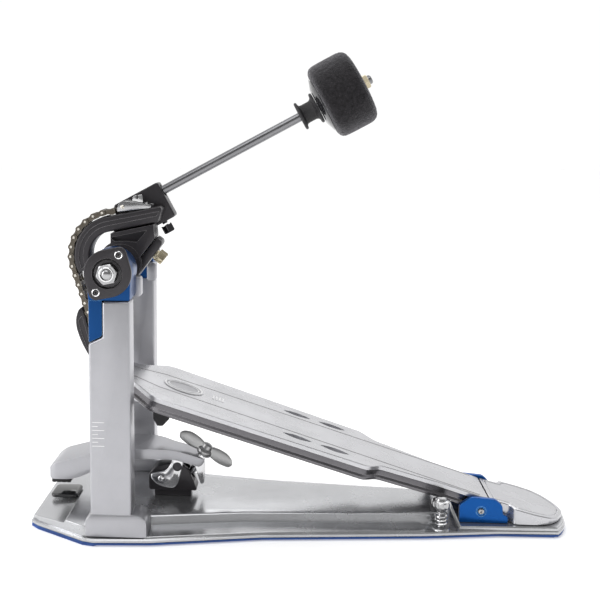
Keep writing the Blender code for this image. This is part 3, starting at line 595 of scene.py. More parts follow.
def floor_plate():
    flange = drafted(plate_outline(), [(PLATE_LOW_Z, 0.4), (3.0, 0.0), (4.4, 0.0), (FLANGE_TOP_Z, 0.7)])
    deck_half = [(-60.0, 31.5), (-22.0, 41.0), (23.0, 41.5), (91.0, 31.0), (206.0, 23.6), (214.0, 22.5),
                 (236.0, 20.0)]
    deck = drafted(mirrored(deck_half), [(3.4, -2.0), (12.1, 0.0), (DECK_TOP_Z, 0.9)])
    wedge_half = [(-63.0, 34.5), (-57.0, 40.2), (-21.0, 61.0), (-17.0, 61.5)]
    wedge = prism(mirrored(wedge_half), "z", 4.5, DECK_TOP_Z)
    band_half = [(24.0, 62.0), (105.0, 48.0), (217.0, 37.6), (221.0, 35.0), (219.5, 26.0)]
    band = drafted(mirrored(band_half), [(4.0, -0.6), (5.8, 0.0), (6.4, 0.6)])
    heel_half = [(246.0, 31.2), (273.0, 29.6), *arc((284.0, 0.0), 41.7, 42, 0, 12)]
    heel = drafted(mirrored(heel_half), [(3.1, 0.0), (6.8, 0.0), (HEEL_TOP_Z, 0.8)])
    nose = prism([(-70.0, 6.0), (-70.0, 30.0), (-20.0, 30.0), (-36.0, 10.6), (-60.0, 8.4), (-64.0, 7.0)],
                 "y", -80.0, 80.0)
    holes = [rod((SPUR_X, side * SPUR_Y, 0), (SPUR_X, side * SPUR_Y, 20), 3.2, 32) for _, side in SIDES]
    ring = [(3.0, 7.4), (5.6, 6.6), (6.2, 6.0)]
    bosses = [turned(ring, (SPUR_X, side * SPUR_Y, 0), UP, 48) for _, side in SIDES]
    piece("floor_plate", flange, "plate_silver", "frame", ("base_plate",),
          add=[(deck, 0.5), (wedge, 0.5), band, heel, *bosses], cut=[nose, *holes])


# ---------------------------------------------------------------- posts and bearings
def post(label, side):
    profile = [(-POST_HALF_X, 6.0), (POST_HALF_X, 6.0), (POST_HALF_X, POST_TOP_Z), (NOTCH_X, POST_TOP_Z),
               (NOTCH_X, NOTCH_Z), (-POST_HALF_X, NOTCH_Z - 4.5)]
    low, high = sorted((side * POST_IN_Y, side * POST_OUT_Y))
    foot = [(-18.2, 5.5), (25.5, 5.5), *arc((18.0, 14.5), 7.5, 0, 90, 8), (-14.0, 22.0), (-18.2, 17.5)]
    near, far = sorted((side * 43.0, side * 62.6))
    piece(f"post_{label}_casting", prism(profile, "y", low, high), "cast_silver", "frame",
          (f"post_{label}",),
          bevel=1.7, steps=4, add=[(prism(foot, "y", near, far), 1.4)])


def scale_marks():
    """Printed height scale on the near post: four long lines with three short ones between."""
    lines = []
    for k in range(7):
        z = 70.2 + 2.8 * k
        length = 8.5 if k % 2 == 0 else 4.0
        lines.append(prism(rect(-12.4, z, -12.4 + length, z + 0.55), "y",
                           -POST_OUT_Y - 0.12, -POST_OUT_Y + 0.3))
    piece("post_scale_marks", together(*lines), "print_white", "frame")


def housing(label, side):
    low, high = sorted((side * 38.0, side * 61.2))
    head = [(-POST_HALF_X, POST_TOP_Z + GAP), (POST_HALF_X, POST_TOP_Z + GAP),
            *arc((0.0, AXLE_Z), 16.0, -20, 200, 36)]
    inner, outer = sorted((side * 46.0, side * 60.4))
    tongue = [(-POST_HALF_X, NOTCH_Z - 3.9), (-6.4, NOTCH_Z - 0.1), (NOTCH_X - GAP, NOTCH_Z + 1.6),
              (NOTCH_X - GAP, 176.0), (-POST_HALF_X, 176.0)]
    piece(f"housing_{label}_block", prism(head, "y", low, high), "anodised_blue", "frame",
          (f"bearing_housing_{label}",), bevel=1.2, add=[(prism(tongue, "y", inner, outer), 0.8)],
          cut=[rod((0, low - 2, AXLE_Z), (0, high + 2, AXLE_Z), 4.3, 40)])
    ring_piece(f"housing_{label}_seal", [(0, 4.5), (0, 11.6), (0.5, 12.0), (0.9, 11.4), (0.9, 5.2),
                                         (0.5, 4.5)],
               (0, side * 38.2, AXLE_Z), (0, -side, 0), "black_metal", "frame")


def inner_bosses():
    """Rounded stops on the inner faces of the bearing housings."""
    for label, side in SIDES:
        low, high = sorted((side * 30.5, side * 38.4))
        shape = rounded(rect(11.2, 171.5, 18.6, 186.0), 2.6, 5)
        piece(f"housing_{label}_stop", prism(shape, "y", low, high), "cast_silver", "frame", bevel=0.8)


def bearing_cap(label, side):
    outline = hull([(0, AXLE_Z, 16.5), (8, AXLE_Z + 13, 5.3), (-8, AXLE_Z - 13, 5.3)], 96)
    low, high = sorted((side * 61.5, side * 65.0))
    out = (0, side, 0)
    recess = turned([(0, 10.5), (2.6, 10.5), (3.4, 11.2), (6.0, 11.2)], (0, side * 62.2, AXLE_Z), out, 72)
    bore = rod((0, side * 60, AXLE_Z), (0, side * 70, AXLE_Z), 4.3, 40)
    sinks = [turned([(0, 2.2), (4.2, 2.2), (4.9, 2.9), (8, 2.9)], (end * 8, side * 60, AXLE_Z + end * 13),
                    out, 36)
             for end in (-1, 1)]
    piece(f"cap_{label}_plate", prism(outline, "y", low, high), "black_metal", "frame",
          (f"bearing_cap_{label}",),
          bevel=0.7, cut=[recess, bore, *sinks])
    ring_piece(f"bearing_{label}_shield", [(0, 7.2), (0, 10.3), (0.7, 10.2), (0.9, 9.4), (0.6, 9.0),
                                           (0.6, 7.6)],
               (0, side * 62.3, AXLE_Z), out, "dark_steel", "frame")
    ring_piece(f"bearing_{label}_race", [(0, 4.4), (0, 6.9), (1.0, 6.9), (1.3, 6.6), (1.3, 4.4)],
               (0, side * 62.3, AXLE_Z), out, "dark_steel", "frame")


def cap_screws(label, side):
    for word, end in (("top", 1), ("bottom", -1)):
        place = (end * 8, side * 61.6, AXLE_Z + end * 13)
        out = (0, side, 0)
        head = turned([(0, 1.9), (2.6, 1.95), (3.1, 1.75), (3.3, 1.35)], place, out, 36)
        socket = turned([(1.4, 1.0), (6.0, 1.0)], place, out, 6)
        piece(f"cap_screw_{label}_{word}_head", head, "dark_steel", "frame", (f"cap_screw_{label}_{word}",),
              cut=[socket])
        ring_piece(f"cap_screw_{label}_{word}_seat", [(0, 2.1), (0, 2.6), (0.35, 2.7), (0.5, 2.4),
                                                      (0.3, 2.1)],
                   (end * 8, side * 64.9, AXLE_Z + end * 13), out, "chrome", "frame", steps=40)


# ---------------------------------------------------------------- axle
def axle():
    start, stop = -69.5, 81.0
    flats = turned([(-37.5 - start, hexagon(12)), (37.3 - start, hexagon(12))], (0, start, AXLE_Z), ACROSS,
                   6,
                   math.radians(30) + SPLIT_ANGLE)
    whole = turned([(0, 1.6), (0.5, 2.7), (1.3, 3.6), (stop - start - 1.3, 3.6), (stop - start - 0.5, 2.7),
                    (stop - start, 1.6)], (0, start, AXLE_Z), ACROSS, 48)
    piece("axle_bar", whole, "steel", "axle", ("axle",), add=[(flats, 0.3)])
    piece("axle_thread_left", helix((0, -69.0, AXLE_Z), ACROSS, 3.6, 0.3, 1.25, 9.0), "steel", "axle")
    piece("axle_thread_right", helix((0, 70.0, AXLE_Z), ACROSS, 3.6, 0.3, 1.25, 10.4), "steel", "axle")
    for label, y, out in (("left", -63.6, -1), ("right", 74.2, 1)):
        nut(f"axle_nut_{label}_hex", (0, y, AXLE_Z), (0, out, 0), 13, 4.5, 4.1, "steel", "axle",
            (f"axle_nut_{label}",))
        ring_piece(f"axle_washer_{label}", [(0, 4.2), (0, 5.1), (0.7, 5.1), (0.9, 4.8), (0.9, 4.2)],
                   (0, y + out * 4.1, AXLE_Z), (0, out, 0), "chrome", "axle")
    ring_piece("axle_spacer", [(0, 4.1), (0, 6.0), (0.4, 6.3), (5.6, 6.3), (6.0, 6.0), (6.0, 4.1)],
               (0, 66.0, AXLE_Z),
               ACROSS, "steel", "axle")


# ---------------------------------------------------------------- cam and its clamp
def cam_outline():
    inner = CAM_R - CAM_BAND + 2.0
    return [(29.9, 231.8), (28.2, 234.0), *arc((CAM_X, CAM_Z), CAM_R, 101.3, 208, 36),
            *arc((CAM_X, CAM_Z), inner, 204, 101.3, 28), (21.8, 221.4), (27.0, 222.5)]


def cam():
    low, high = CAM_Y
    channel = [(28.0, 230.4), *arc((CAM_X, CAM_Z), CAM_R - 3.2, 101.3, 203, 30),
              *arc((CAM_X, CAM_Z), CAM_R - 6.4, 200, 101.3, 24), (26.0, 227.0)]
    sinks = [prism(channel, "y", low - 2.0, low + 0.7), prism(channel, "y", high - 0.7, high + 2.0)]
    piece("cam_rim", prism(cam_outline(), "y", low, high), "black_metal", "axle", ("cam",), bevel=0.9,
          cut=sinks)
    tread = [*arc((CAM_X, CAM_Z), CAM_R + 0.5, 99.0, 206, 36),
             *arc((CAM_X, CAM_Z), CAM_R - 1.2, 206, 99.0, 36)]
    piece("cam_chain_pad", prism(tread, "y", low + 1.6, high - 1.6), "rubber_black", "axle")


def hexagon_bore():
    return turned([(0, hexagon(12.6)), (60, hexagon(12.6))], (0, -30, AXLE_Z), ACROSS, 6,
                  math.radians(30) + SPLIT_ANGLE)


def cam_hub():
    under = [(24.0, 220.85), (-8.0, 214.05)]
    outline = [flat(split_point(-14.8, 8.3)), flat(split_point(30, 8.3)), *under,
               *arc((0.0, AXLE_Z), 17.0, 118, 261.8, 36)]
    window = rounded([(-8.2, 211.0), (19.0, 216.6), (11.6, 207.6), (4.7, 208.4), (-4.6, 208.4)], 0.8, 3)
    face = prism(hull([(0, AXLE_Z, 15.2)], 72), "y", -15.0, -14.0)
    step = prism(hull([(0, AXLE_Z, 14.2)], 72), "y", -16.0, -14.5)
    piece("cam_hub_block", prism(outline, "y", -15.0, 4.5), "black_metal", "axle", ("cam_hub",), bevel=0.6,
          add=[face], cut=[step, prism(window, "y", -20.0, -11.0), hexagon_bore()])
    bar = [(11.9, 206.9), (13.3, 206.6), (21.6, 216.0), (20.3, 216.9)]
    piece("cam_hub_rib", prism(bar, "y", -14.9, -11.0), "steel", "axle", bevel=0.3)


def cam_clamp():
    corners = [split_point(-11, 8.8), split_point(31, 8.8), split_point(31, 13.5), split_point(29, 15.3),
               split_point(-9, 15.3), split_point(-11, 13.5)]
    out = split_point(0, 1) - split_point(0, 0)
    bores = [rod(split_point(20, 5, y), split_point(20, 20, y), 2.3, 28) for y in (-9.2, -0.3)]
    piece("cam_clamp_plate", prism([flat(c) for c in corners], "y", -13.0, 3.0), "black_metal", "axle",
          ("cam_clamp_bar",), bevel=0.8, cut=bores)
    for label, y in (("a", -9.2), ("b", -0.3)):
        square_head_screw(f"cam_key_{label}_bolt", split_point(20, 9.0, y), out, 6.6, "pale_gold",
                          f"cam_key_{label}",
                          (f"cam_key_screw_{label}",))


def chain_anchor():
    cheek = rounded([(-3.6, 229.8), (-3.3, 233.6), (-1.6, 236.8), (2.5, 237.8), (10.8, 236.8), (22.0, 235.0),
                     (21.2, 232.6)], 1.2, 3)
    plates = [prism(cheek, "y", CHAIN_Y + a, CHAIN_Y + b) for a, b in ((-7.4, -5.8), (5.8, 7.4))]
    floor_block = prism([(-1.0, 230.8), (20.0, 234.4), (19.0, 236.0), (3.0, 233.4), (-1.4, 232.4)], "y",
                        CHAIN_Y - 6.6,
                        CHAIN_Y + 6.6)
    piece("anchor_bracket", floor_block, "steel", "axle", ("chain_anchor",), bevel=0.3,
          add=[(plate, 0.35) for plate in plates])
    ends = turned([(0, 0.9), (0.4, 1.5), (15.6, 1.5), (16.0, 0.9)], (0.6, CHAIN_Y - 8.0, 233.4), ACROSS, 32)
    piece("anchor_pin", ends, "pin_steel", "axle")
    block = rounded([(7.0, 236.2), (15.2, 236.4), (14.5, 242.4), (8.0, 241.3)], 0.8, 3)
    piece("anchor_block", prism(block, "y", CHAIN_Y - 4, CHAIN_Y + 4), "chrome", "axle", bevel=0.4,
          cut=[prism(rect(10.4, 239.0, 11.4, 244.0), "y", CHAIN_Y - 5, CHAIN_Y + 5)])


# ---------------------------------------------------------------- chain
PLATE_R, ROLLER_R, PIN_R = 2.4, 2.15, 1.25
STRANDS = (-3.55, 3.55)


def figure_eight(start, end, radius, waist):
    """Side view of a chain plate: two round ends joined by a narrower waist."""
    span = Vector((end[0] - start[0], end[1] - start[1]))
    heading = math.degrees(math.atan2(span.y, span.x))
    side = Vector((-span.y, span.x)).normalized() * waist
    middle = (Vector(start) + Vector(end)) / 2
    first = arc(start, radius, heading + 55, heading + 305, 14)
    second = arc(end, radius, heading - 125, heading + 125, 14)
    return [*first, tuple(middle - side), *second, tuple(middle + side)]


def chain_link(index, body, replaces=()):
    """One link of the double chain: even links carry the rollers, odd ones the outer plates."""
    start, end = chain_pin(index), chain_pin(index + 1)
    outline = figure_eight(start, end, PLATE_R, 1.55)
    if index % 2:
        plates = [prism(outline, "y", CHAIN_Y + a, CHAIN_Y + b)
                  for a, b in ((-7.1, -6.3), (-0.45, 0.45), (6.3, 7.1))]
        pins = [chain_pins(point) for point in (start, end)]
        piece(f"link_{index}_pins", together(*pins), "pin_steel", body)
        piece(f"link_{index}_plates", together(*plates), "chain_steel", body, replaces)
        return
    solids = []
    for strand in STRANDS:
        for a, b in ((-2.6, -1.8), (1.8, 2.6)):
            solids.append(prism(outline, "y", CHAIN_Y + strand + a, CHAIN_Y + strand + b))
        for point in (start, end):
            roller = [(0, 1.5), (0, ROLLER_R - 0.25), (0.25, ROLLER_R), (3.15, ROLLER_R),
                      (3.4, ROLLER_R - 0.25),
                      (3.4, 1.5)]
            solids.append(turned(roller, (point[0], CHAIN_Y + strand - 1.7, point[1]), ACROSS, 24,
                                 ring=True))
    piece(f"link_{index}_rollers", together(*solids), "chain_steel", body, replaces)


def chain_pins(point):
    half = 7.6
    profile = [(0, 0.7), (0.25, 1.05), (0.6, PIN_R), (2 * half - 0.6, PIN_R), (2 * half - 0.25, 1.05),
               (2 * half, 0.7)]
    return turned(profile, (point[0], CHAIN_Y - half, point[1]), ACROSS, 20)


def chain():
    bodies = {5: ("link_1", "chain_link_1"), 6: ("link_2", "chain_link_2"), 7: ("link_3", "chain_link_3")}
    for index in range(LAST_CAM_PIN + RUN_PITCHES):
        if index < 5:
            body, node = "axle", "chain_wrap"
        elif index in bodies:
            body, node = bodies[index]
        else:
            body, node = "run", "chain_run"
        chain_link(index, body, (node,))


# ---------------------------------------------------------------- beater
def beater_hub():
    block = [shaft_point(a, b) for a, b in ((12.6, 38.8), (47.0, 38.8), (47.0, 13.7), (24.0, 13.7))]
    neck = [shaft_point(a, b) for a, b in ((12.6, 36.0), (28.0, 15.0))]
    along = shaft_point(1, 0) - shaft_point(0, 0)
    down = shaft_point(0, 0) - shaft_point(0, 1)
    outline = hull([(c.x, c.z, 2.0) for c in block], 64)
    arm = hull([(0, AXLE_Z, 12.5), *[(c.x, c.z, 2.0) for c in neck]], 72)
    bore = turned([(0, SHAFT_R + GAP), (60, SHAFT_R + GAP), (61.4, SHAFT_R + 1.6), (80, SHAFT_R + 1.6)],
                  shaft_point(-13.2, SHAFT_OFF), along, 40)
    slit = [shaft_point(a, b) for a, b in ((14.0, SHAFT_OFF - 0.45), (60.0, SHAFT_OFF - 0.45),
                                           (60.0, SHAFT_OFF + 0.45),
                                           (14.0, SHAFT_OFF + 0.45))]
    piece("beater_hub_block", prism(outline, "y", 4.8, 19.0), "black_metal", "axle", ("beater_hub",),
          bevel=1.0,
          add=[(prism(arm, "y", 5.3, 18.5), 0.8)],
          cut=[hexagon_bore(), bore, prism([flat(c) for c in slit], "y", 15.0, 22.0),
               turned([(0, 2.3), (40, 2.3)], shaft_point(38.4, SHAFT_OFF - 1), down, 28)])
    square_head_screw("beater_key_bolt", shaft_point(38.4, SHAFT_OFF - SHAFT_R - GAP), down, 19.2,
                      "dark_steel",
                      "beater_key", ("beater_key_screw",))


def felt_mesh(profile, base, along, steps):
    """The turned felt head, with its surface matted by fine noise."""
    bm = turned(profile, base, along, steps, ring=True)
    bmesh.ops.subdivide_edges(bm, edges=bm.edges, cuts=2, use_grid_fill=True)
    bmesh.ops.recalc_face_normals(bm, faces=bm.faces)
    axis = along.normalized()
    for vert in bm.verts:
        out = vert.co - base
        out -= axis * out.dot(axis)
        if out.length > 6.0:
            fluff = noise.noise(vert.co * 0.55) * 0.14 + noise.noise(vert.co * 1.9) * 0.10
            vert.co += vert.normal * fluff
    return bm


def beater():
    along = (shaft_point(1, 0) - shaft_point(0, 0)).normalized()
    base = shaft_point(0, SHAFT_OFF)
    bore = SHAFT_R + GAP
    shaft = [(13, SHAFT_R - 0.6), (13.6, SHAFT_R), (225.0, SHAFT_R), (225.7, SHAFT_R - 0.5),
             (226.0, SHAFT_R - 1.2)]
    piece("beater_rod", turned(shaft, base, along, 48), "shaft_steel", "beater", ("beater_shaft",))
    spool = [(166.2, bore), (166.2, 9.8), (166.5, 10.7), (167.1, 11.0), (167.9, 10.9), (168.4, 10.2),
             (168.7, 8.4),
             (169.4, 7.6), (171.0, 7.3), (176.6, 7.3), (178.0, 7.9), (178.8, 9.0), (179.1, 11.2),
             (179.6, 12.0),
             (180.8, 12.0), (181.2, 11.4), (181.2, bore)]
    ring_piece("beater_bobbin", spool, base, along, "rubber_black", "spool", ("beater_spool",))
    plate = [(181.8, bore), (181.8, 14.0), (182.4, 15.6), (184.2, 20.9), (184.6, 21.4), (185.1, 21.4),
             (185.1, bore)]
    ring_piece("beater_back_plate", plate, base, along, "gloss_black", "beater", ("beater_plate",))
    head = [(185.4, bore), (185.4, 22.5), (185.7, 24.6), (186.7, 26.6), (188.1, 27.9), (190.0, 28.6),
            (193.0, 28.9),
            (202.0, 29.0), (211.0, 28.9), (213.6, 28.4), (215.6, 27.4), (217.1, 25.7), (218.0, 23.2),
            (218.5, 18.0),
            (218.8, 10.0), (218.8, bore)]
    felt_head = piece("beater_felt_head", felt_mesh(head, base, along, 56), "felt_black", "beater",
                      ("beater_felt",),
                      angle=60)
    nut("beater_nut_hex", shaft_point(219.2, SHAFT_OFF), along, 10, 4.0, bore, "pale_gold", "beater",
        ("beater_nut",))
    piece("beater_rod_thread", helix(shaft_point(221.0, SHAFT_OFF), along, SHAFT_R - 0.05, 0.22, 1.0, 3.8),
          "shaft_steel", "beater")


# ---------------------------------------------------------------- footboard
def board_ring(outline, lift):
    return [on_board(x, y, lift) for x, y in outline]


def board_slab(outline, top, bottom):
    return stack([board_ring(outline, top), board_ring(outline, bottom)])


def board_outline(draw=0.0):
    half = rounded([(-19.5, 0.0), *BOARD_HALF, (BOARD_END_X, 0.0)], corner_radius, 3)
    half = [(x, y) for x, y in half if y > 0.4]
    return inset(mirrored(half), draw) if draw else mirrored(half)


def corner_radius(corner):
    return 2.4 if corner[0] > 260 or corner[1] == 0 else 5.0


def groove(points, width, depth):
    """A narrow groove in the board's top face along a line of (x, y) points."""
    solids = []
    for start, end in zip(points, points[1:]):
        along = (Vector(end) - Vector(start)).normalized() * 0.25
        side = Vector((-along.y, along.x)).normalized() * width / 2
        a, b = Vector(start) - along, Vector(end) + along
        solids.append(board_slab([tuple(a - side), tuple(b - side), tuple(b + side), tuple(a + side)], 1.0,
                                 -depth))
    return solids


def leaf_slot(x, y, half_length, half_width):
    """Pointed oval recess."""
    rise = (half_length ** 2 - half_width ** 2) / (2 * half_width)
    radius = rise + half_width
    sweep = math.degrees(math.asin(half_length / radius))
    upper = arc((x, y - rise), radius, 90 + sweep, 90 - sweep, 12)
    lower = arc((x, y + rise), radius, 270 + sweep, 270 - sweep, 12)
    return rounded([*upper, *lower[1:-1]], 0.4, 2)


def past_board_end():
    """Everything beyond the gap between the board and the heel plate."""
    return prism(rect(268.65, 0, 290, 40), "y", -30, 30)


def footboard():
    outline = board_outline()
    top = [(0.5, 0.0), (0.0, -0.5), (0.0, -3.0), (0.6, -3.3)]
    wall = [(0.6, -3.2), (1.3, -5.0), (1.4, -7.6), (0.6, -8.6), (0.1, -9.1), (0.1, -10.4),
            (0.6, -BOARD_DEEP)]
    shell, skirt = (stack([board_ring(inset(outline, draw), lift) for draw, lift in levels])
                    for levels in (top, wall))
    wide = [(12.0, 16.0), (28.0, 36.0), (34.0, 37.8), (166.0, 32.6), (178.0, 32.2)]
    narrow = [(179.0, 23.5), (190.0, 21.5), (236.0, 15.6)]
    barrel = rod((HINGE_X, -19.6, HINGE_Z), (HINGE_X, 19.6, HINGE_Z), 5.8, 48, 0.5)
    trims = [past_board_end()]
    for label, side in SIDES:
        line = [(-13.0, side * 10.6), (10.0, side * 11.4), (28.0, side * 17.0), (176.0, side * 17.4),
                (262.0, side * 18.2)]
        trims += groove(line, 0.8, 1.1)
        strip = [(x, y - 0.55) for x, y in line] + [(x, y + 0.55) for x, y in reversed(line)]
        # A black strip laid in each groove: painted shade.
        piece(f"board_groove_painted_shade_{label}", board_slab(strip, 0.05, -0.9), "black_metal",
              "footboard")
        for x in (130.0, 157.0):
            trims.append(board_slab(leaf_slot(x, side * 26, 11.0, 3.6), 1.0, -2.6))
    piece("footboard_deck", shell, "board_silver", "footboard", ("footboard",), cut=trims, angle=20)
    hollow = board_slab(mirrored([*wide, *narrow]), 0.0, -30.0)
    pin_bore = rod((HINGE_X, -30, HINGE_Z), (HINGE_X, 30, HINGE_Z), 2.5, 40)
    # The wall and the hinge barrel wear a darker copy of the board's silver: painted shade.
    piece("footboard_skirt", skirt, "board_wall_painted_shade", "footboard", add=[barrel],
          cut=[hollow, past_board_end(), pin_bore],
          angle=28)
    under_ribs()
    toe_skirt()
    for label, side in SIDES:
        post_base = on_board(62.0, side * 30.0, -BOARD_SKIN - 4.4)
        up = on_board(0, 0, 1.0) - on_board(0, 0, 0.0)
        piece(f"footboard_boss_{label}", turned([(0, 2.2), (0.6, 3.0), (4.6, 3.4)], post_base, up, 36),
              "steel",
              "footboard")


def toe_skirt():
    """The deep wall round the toe, whose lower edge runs level while the board climbs."""
    outline = mirrored([(-17.0, 13.0), (-11.0, 18.6), (2.0, 20.1), (10.0, 22.6), (20.0, 34.0), (24.0, 38.9)])
    below = board_slab(rect(-40.0, -60.0, 60.0, 60.0), -3.3, -40.0)
    piece("toe_skirt_wall", prism(outline, "z", 91.5, 125.0), "board_silver", "footboard", within=below,
          bevel=0.5,
          cut=[prism(inset(outline, 2.2), "z", 80.0, 130.0)])


def under_ribs():
    """Cross ribs and a spine cast under the board, open over the wing bolt."""
    ribs = [board_slab(rect(96.0, -1.4, 235.0, 1.4), -BOARD_SKIN + 0.2, -9.6)]
    spans = [(116.0, -34.2, 34.2), (144.0, -33.2, 33.2), (206.0, -19.2, 19.2)]
    for x, half in ((60.0, 36.6), (88.0, 35.2)):
        spans += [(x, -half, -13.0), (x, 13.0, half)]
    for x, near, far in spans:
        ribs.append(board_slab(rect(x - 1.1, near, x + 1.1, far),
                               -BOARD_SKIN + 0.2, -9.2))
    piece("footboard_ribs", ribs[0], "board_silver", "footboard", bevel=0.4, add=ribs[1:])


def badge_oval(draw, steps=72):
    """The badge's outline, drawn in by a distance."""
    turn = [2 * math.pi * k / steps for k in range(steps)]
    return [(BADGE_X + (BADGE_LONG - draw) * math.cos(a), (BADGE_WIDE - draw) * math.sin(a)) for a in turn]


def emblem():
    """A plain oval badge: two fine rings on a flat plate, with a square of lines behind it."""
    plate = stack([board_ring(badge_oval(draw), lift)
                   for draw, lift in ((0.1, 0.1), (0.0, 0.25), (0.3, 0.4))])
    piece("emblem_plate", plate, "emblem", "footboard", ("footboard_emblem",))
    for label, outer, inner in (("outer", 0.5, 1.9), ("inner", 3.2, 4.1)):
        ring = board_slab(badge_oval(outer), 0.7, 0.2)
        middle = board_slab(badge_oval(inner), 2.0, 0.0)
        piece(f"emblem_ring_{label}", ring, "print_white", "footboard", cut=[middle])
    lines = []
    for k in range(4):
        x = 66.0 + 2.4 * k
        lines.append(board_slab(rect(x, -4.0, x + 1.4, 4.0), 0.3, -0.2))
    piece("emblem_lines", together(*lines), "print_white", "footboard")


def toe_guard():
    outer = [(-31.3, 158.0), (-33.2, 156.4), (-34.8, 152.4), (-35.5, 147.7), (-34.8, 141.7), (-32.8, 135.7),
             (-30.2, 129.6), (-27.1, 123.8), (-23.6, 118.2), (-20.6, 113.0)]
    inner = [(-20.6, 121.0), (-22.2, 127.5), (-24.0, 134.5), (-26.2, 142.5), (-28.6, 150.5), (-30.6, 156.6)]
    outline = rounded([*outer, *inner], 2.0, 3)
    hollow = rounded([(-33.6, 148.0), (-31.6, 139.0), (-27.0, 127.5), (-24.4, 127.0), (-27.0, 137.5),
                      (-31.0, 152.0)],
                     1.5, 3)
    piece("toe_guard_horn", prism(outline, "y", -12.0, 3.5), "black_metal", "footboard", ("toe_guard",),
          bevel=0.9,
          cut=[prism(hollow, "y", -14.0, -11.4), prism(hollow, "y", 2.9, 6.0)])


def toe_fork():
    low, high = CHAIN_Y - 11.2, CHAIN_Y + 11.2
    cheek = rounded([(-17.6, board_z(-17.6) + 0.35), (-6.0, board_z(-6.0) + 0.35), (-9.0, 122.0),
                     (-13.0, 124.4),
                     (-17.0, 122.6)], 1.6, 4)
    floor_outline = [(-17.6, board_z(-17.6) + 0.35), (-6.0, board_z(-6.0) + 0.35),
                     (-6.3, board_z(-6.3) + 1.6),
                     (-17.3, board_z(-17.3) + 1.6)]
    x, z = run_pin(RUN_PITCHES)
    piece("toe_fork_bracket", prism(cheek, "y", low, low + 2.4), "steel", "footboard", ("toe_fork",),
          bevel=0.5,
          add=[(prism(cheek, "y", high - 2.4, high), 0.5), prism(floor_outline, "y", low + 1.0, high - 1.0),
               rod((x, low + 1.0, z), (x, high - 1.0, z), 1.4, 28)])
    for label, y, out in (("left", low, -1), ("right", high, 1)):
        head = turned([(0, 2.3), (0.5, 2.3), (0.9, 1.7)], (x, y, z), (0, out, 0), 32)
        piece(f"toe_pin_head_{label}", head, "pin_steel", "footboard",
              cut=[turned([(0.5, 0.8), (2.0, 0.8)], (x, y, z), (0, out, 0), 6)])


def bumpers():
    for label, side in SIDES:
        low, high = sorted((side * 20.0, side * 29.0))
        seat = [(x, board_z(x) - BOARD_SKIN * 1.08 - 0.6) for x in (25.0, 37.0)]
        wedge = [(37.0, 80.0), (32.0, 74.6), (28.0, 74.6), (25.0, 80.0)]
        grip = [prism(rect(20.0, z, 40.0, z + 0.7), "y", low - 2.0, low + 0.5)
                for z in (84.0, 87.0)]
        piece(f"bumper_{label}", prism([*seat, *wedge], "y", low, high), "rubber_black", "footboard",
              (f"footboard_bumper_{label}",), bevel=1.0, cut=grip)


# ---------------------------------------------------------------- heel
def hinge_blocks():
    foot = HEEL_TOP_Z + GAP
    outline = rounded([(246.8, foot), (246.8, 20.6), (255.2, 26.4), (272.8, 25.0), (277.4, 20.6),
                       (277.4, 14.2),
                       (281.0, 13.0), (281.0, foot)], lambda corner: 0.3 if corner[1] < 9 else 2.2, 4)
    for label, side in SIDES:
        low, high = sorted((side * 20.9, side * 24.3))
        bore = rod((HINGE_X, -40, HINGE_Z), (HINGE_X, 40, HINGE_Z), 2.5, 40)
        sink = turned([(0, 3.6), (5, 3.6)], (HINGE_X, side * 23.7, HINGE_Z), (0, side, 0), 40)
        piece(f"hinge_{label}_block", prism(outline, "y", low, high), "hinge_blue", "frame",
              (f"hinge_block_{label}",), bevel=0.7, cut=[bore, sink])
    pin = turned([(0, 1.2), (0.3, 1.9), (0.8, 2.2), (49.0, 2.2), (49.5, 1.9), (49.8, 1.2)],
                 (HINGE_X, -24.9, HINGE_Z),
                 ACROSS, 40)
    sockets = [turned([(0, 1.1), (3.0, 1.1)], (HINGE_X, y, HINGE_Z), ACROSS, 6) for y in (-26.4, 23.4)]
    piece("hinge_pin_rod", pin, "steel", "frame", ("hinge_pin",), cut=sockets)


def heel_top(x):
    return 24.0 - (x - 269.3) * 0.262


def heel_plate():
    half = [(269.3, 20.2), (282.5, 20.2), (285.5, 26.4), (300.0, 26.6), (311.0, 24.4), (318.0, 18.6),
            (323.0, 10.0),
            (325.2, 3.0)]
    outline = rounded(mirrored(half), 2.4, 3)
    foot = HEEL_TOP_Z + GAP
    rings = [[(x, y, foot) for x, y in inset(outline, 0.6)],
             [(x, y, foot + 0.5) for x, y in inset(outline, 0.1)]]
    for draw, lift in ((0.0, -4.6), (0.0, -0.8), (0.3, -0.2), (0.9, 0.0)):
        rings.append([(x, y, max(foot + 1.0, heel_top(x) + lift)) for x, y in inset(outline, draw)])
    outer, middle = rounded(inset(mirrored(half), 3.0), 2.0, 3), rounded(inset(mirrored(half), 3.7), 2.0, 3)
    slot = stack([[(x, y, heel_top(x) + lift) for x, y in outer] for lift in (2.0, -0.7)])
    piece("heel_cap", stack(rings), "board_silver", "frame", ("heel_plate",), cut=[slot], angle=24)
    field = stack([[(x, y, heel_top(x) + lift) for x, y in inset(middle, draw)]
                   for draw, lift in ((0.0, -1.0), (0.0, -0.3), (0.3, 0.0))])
    piece("heel_cap_field", field, "board_silver", "frame", angle=24)


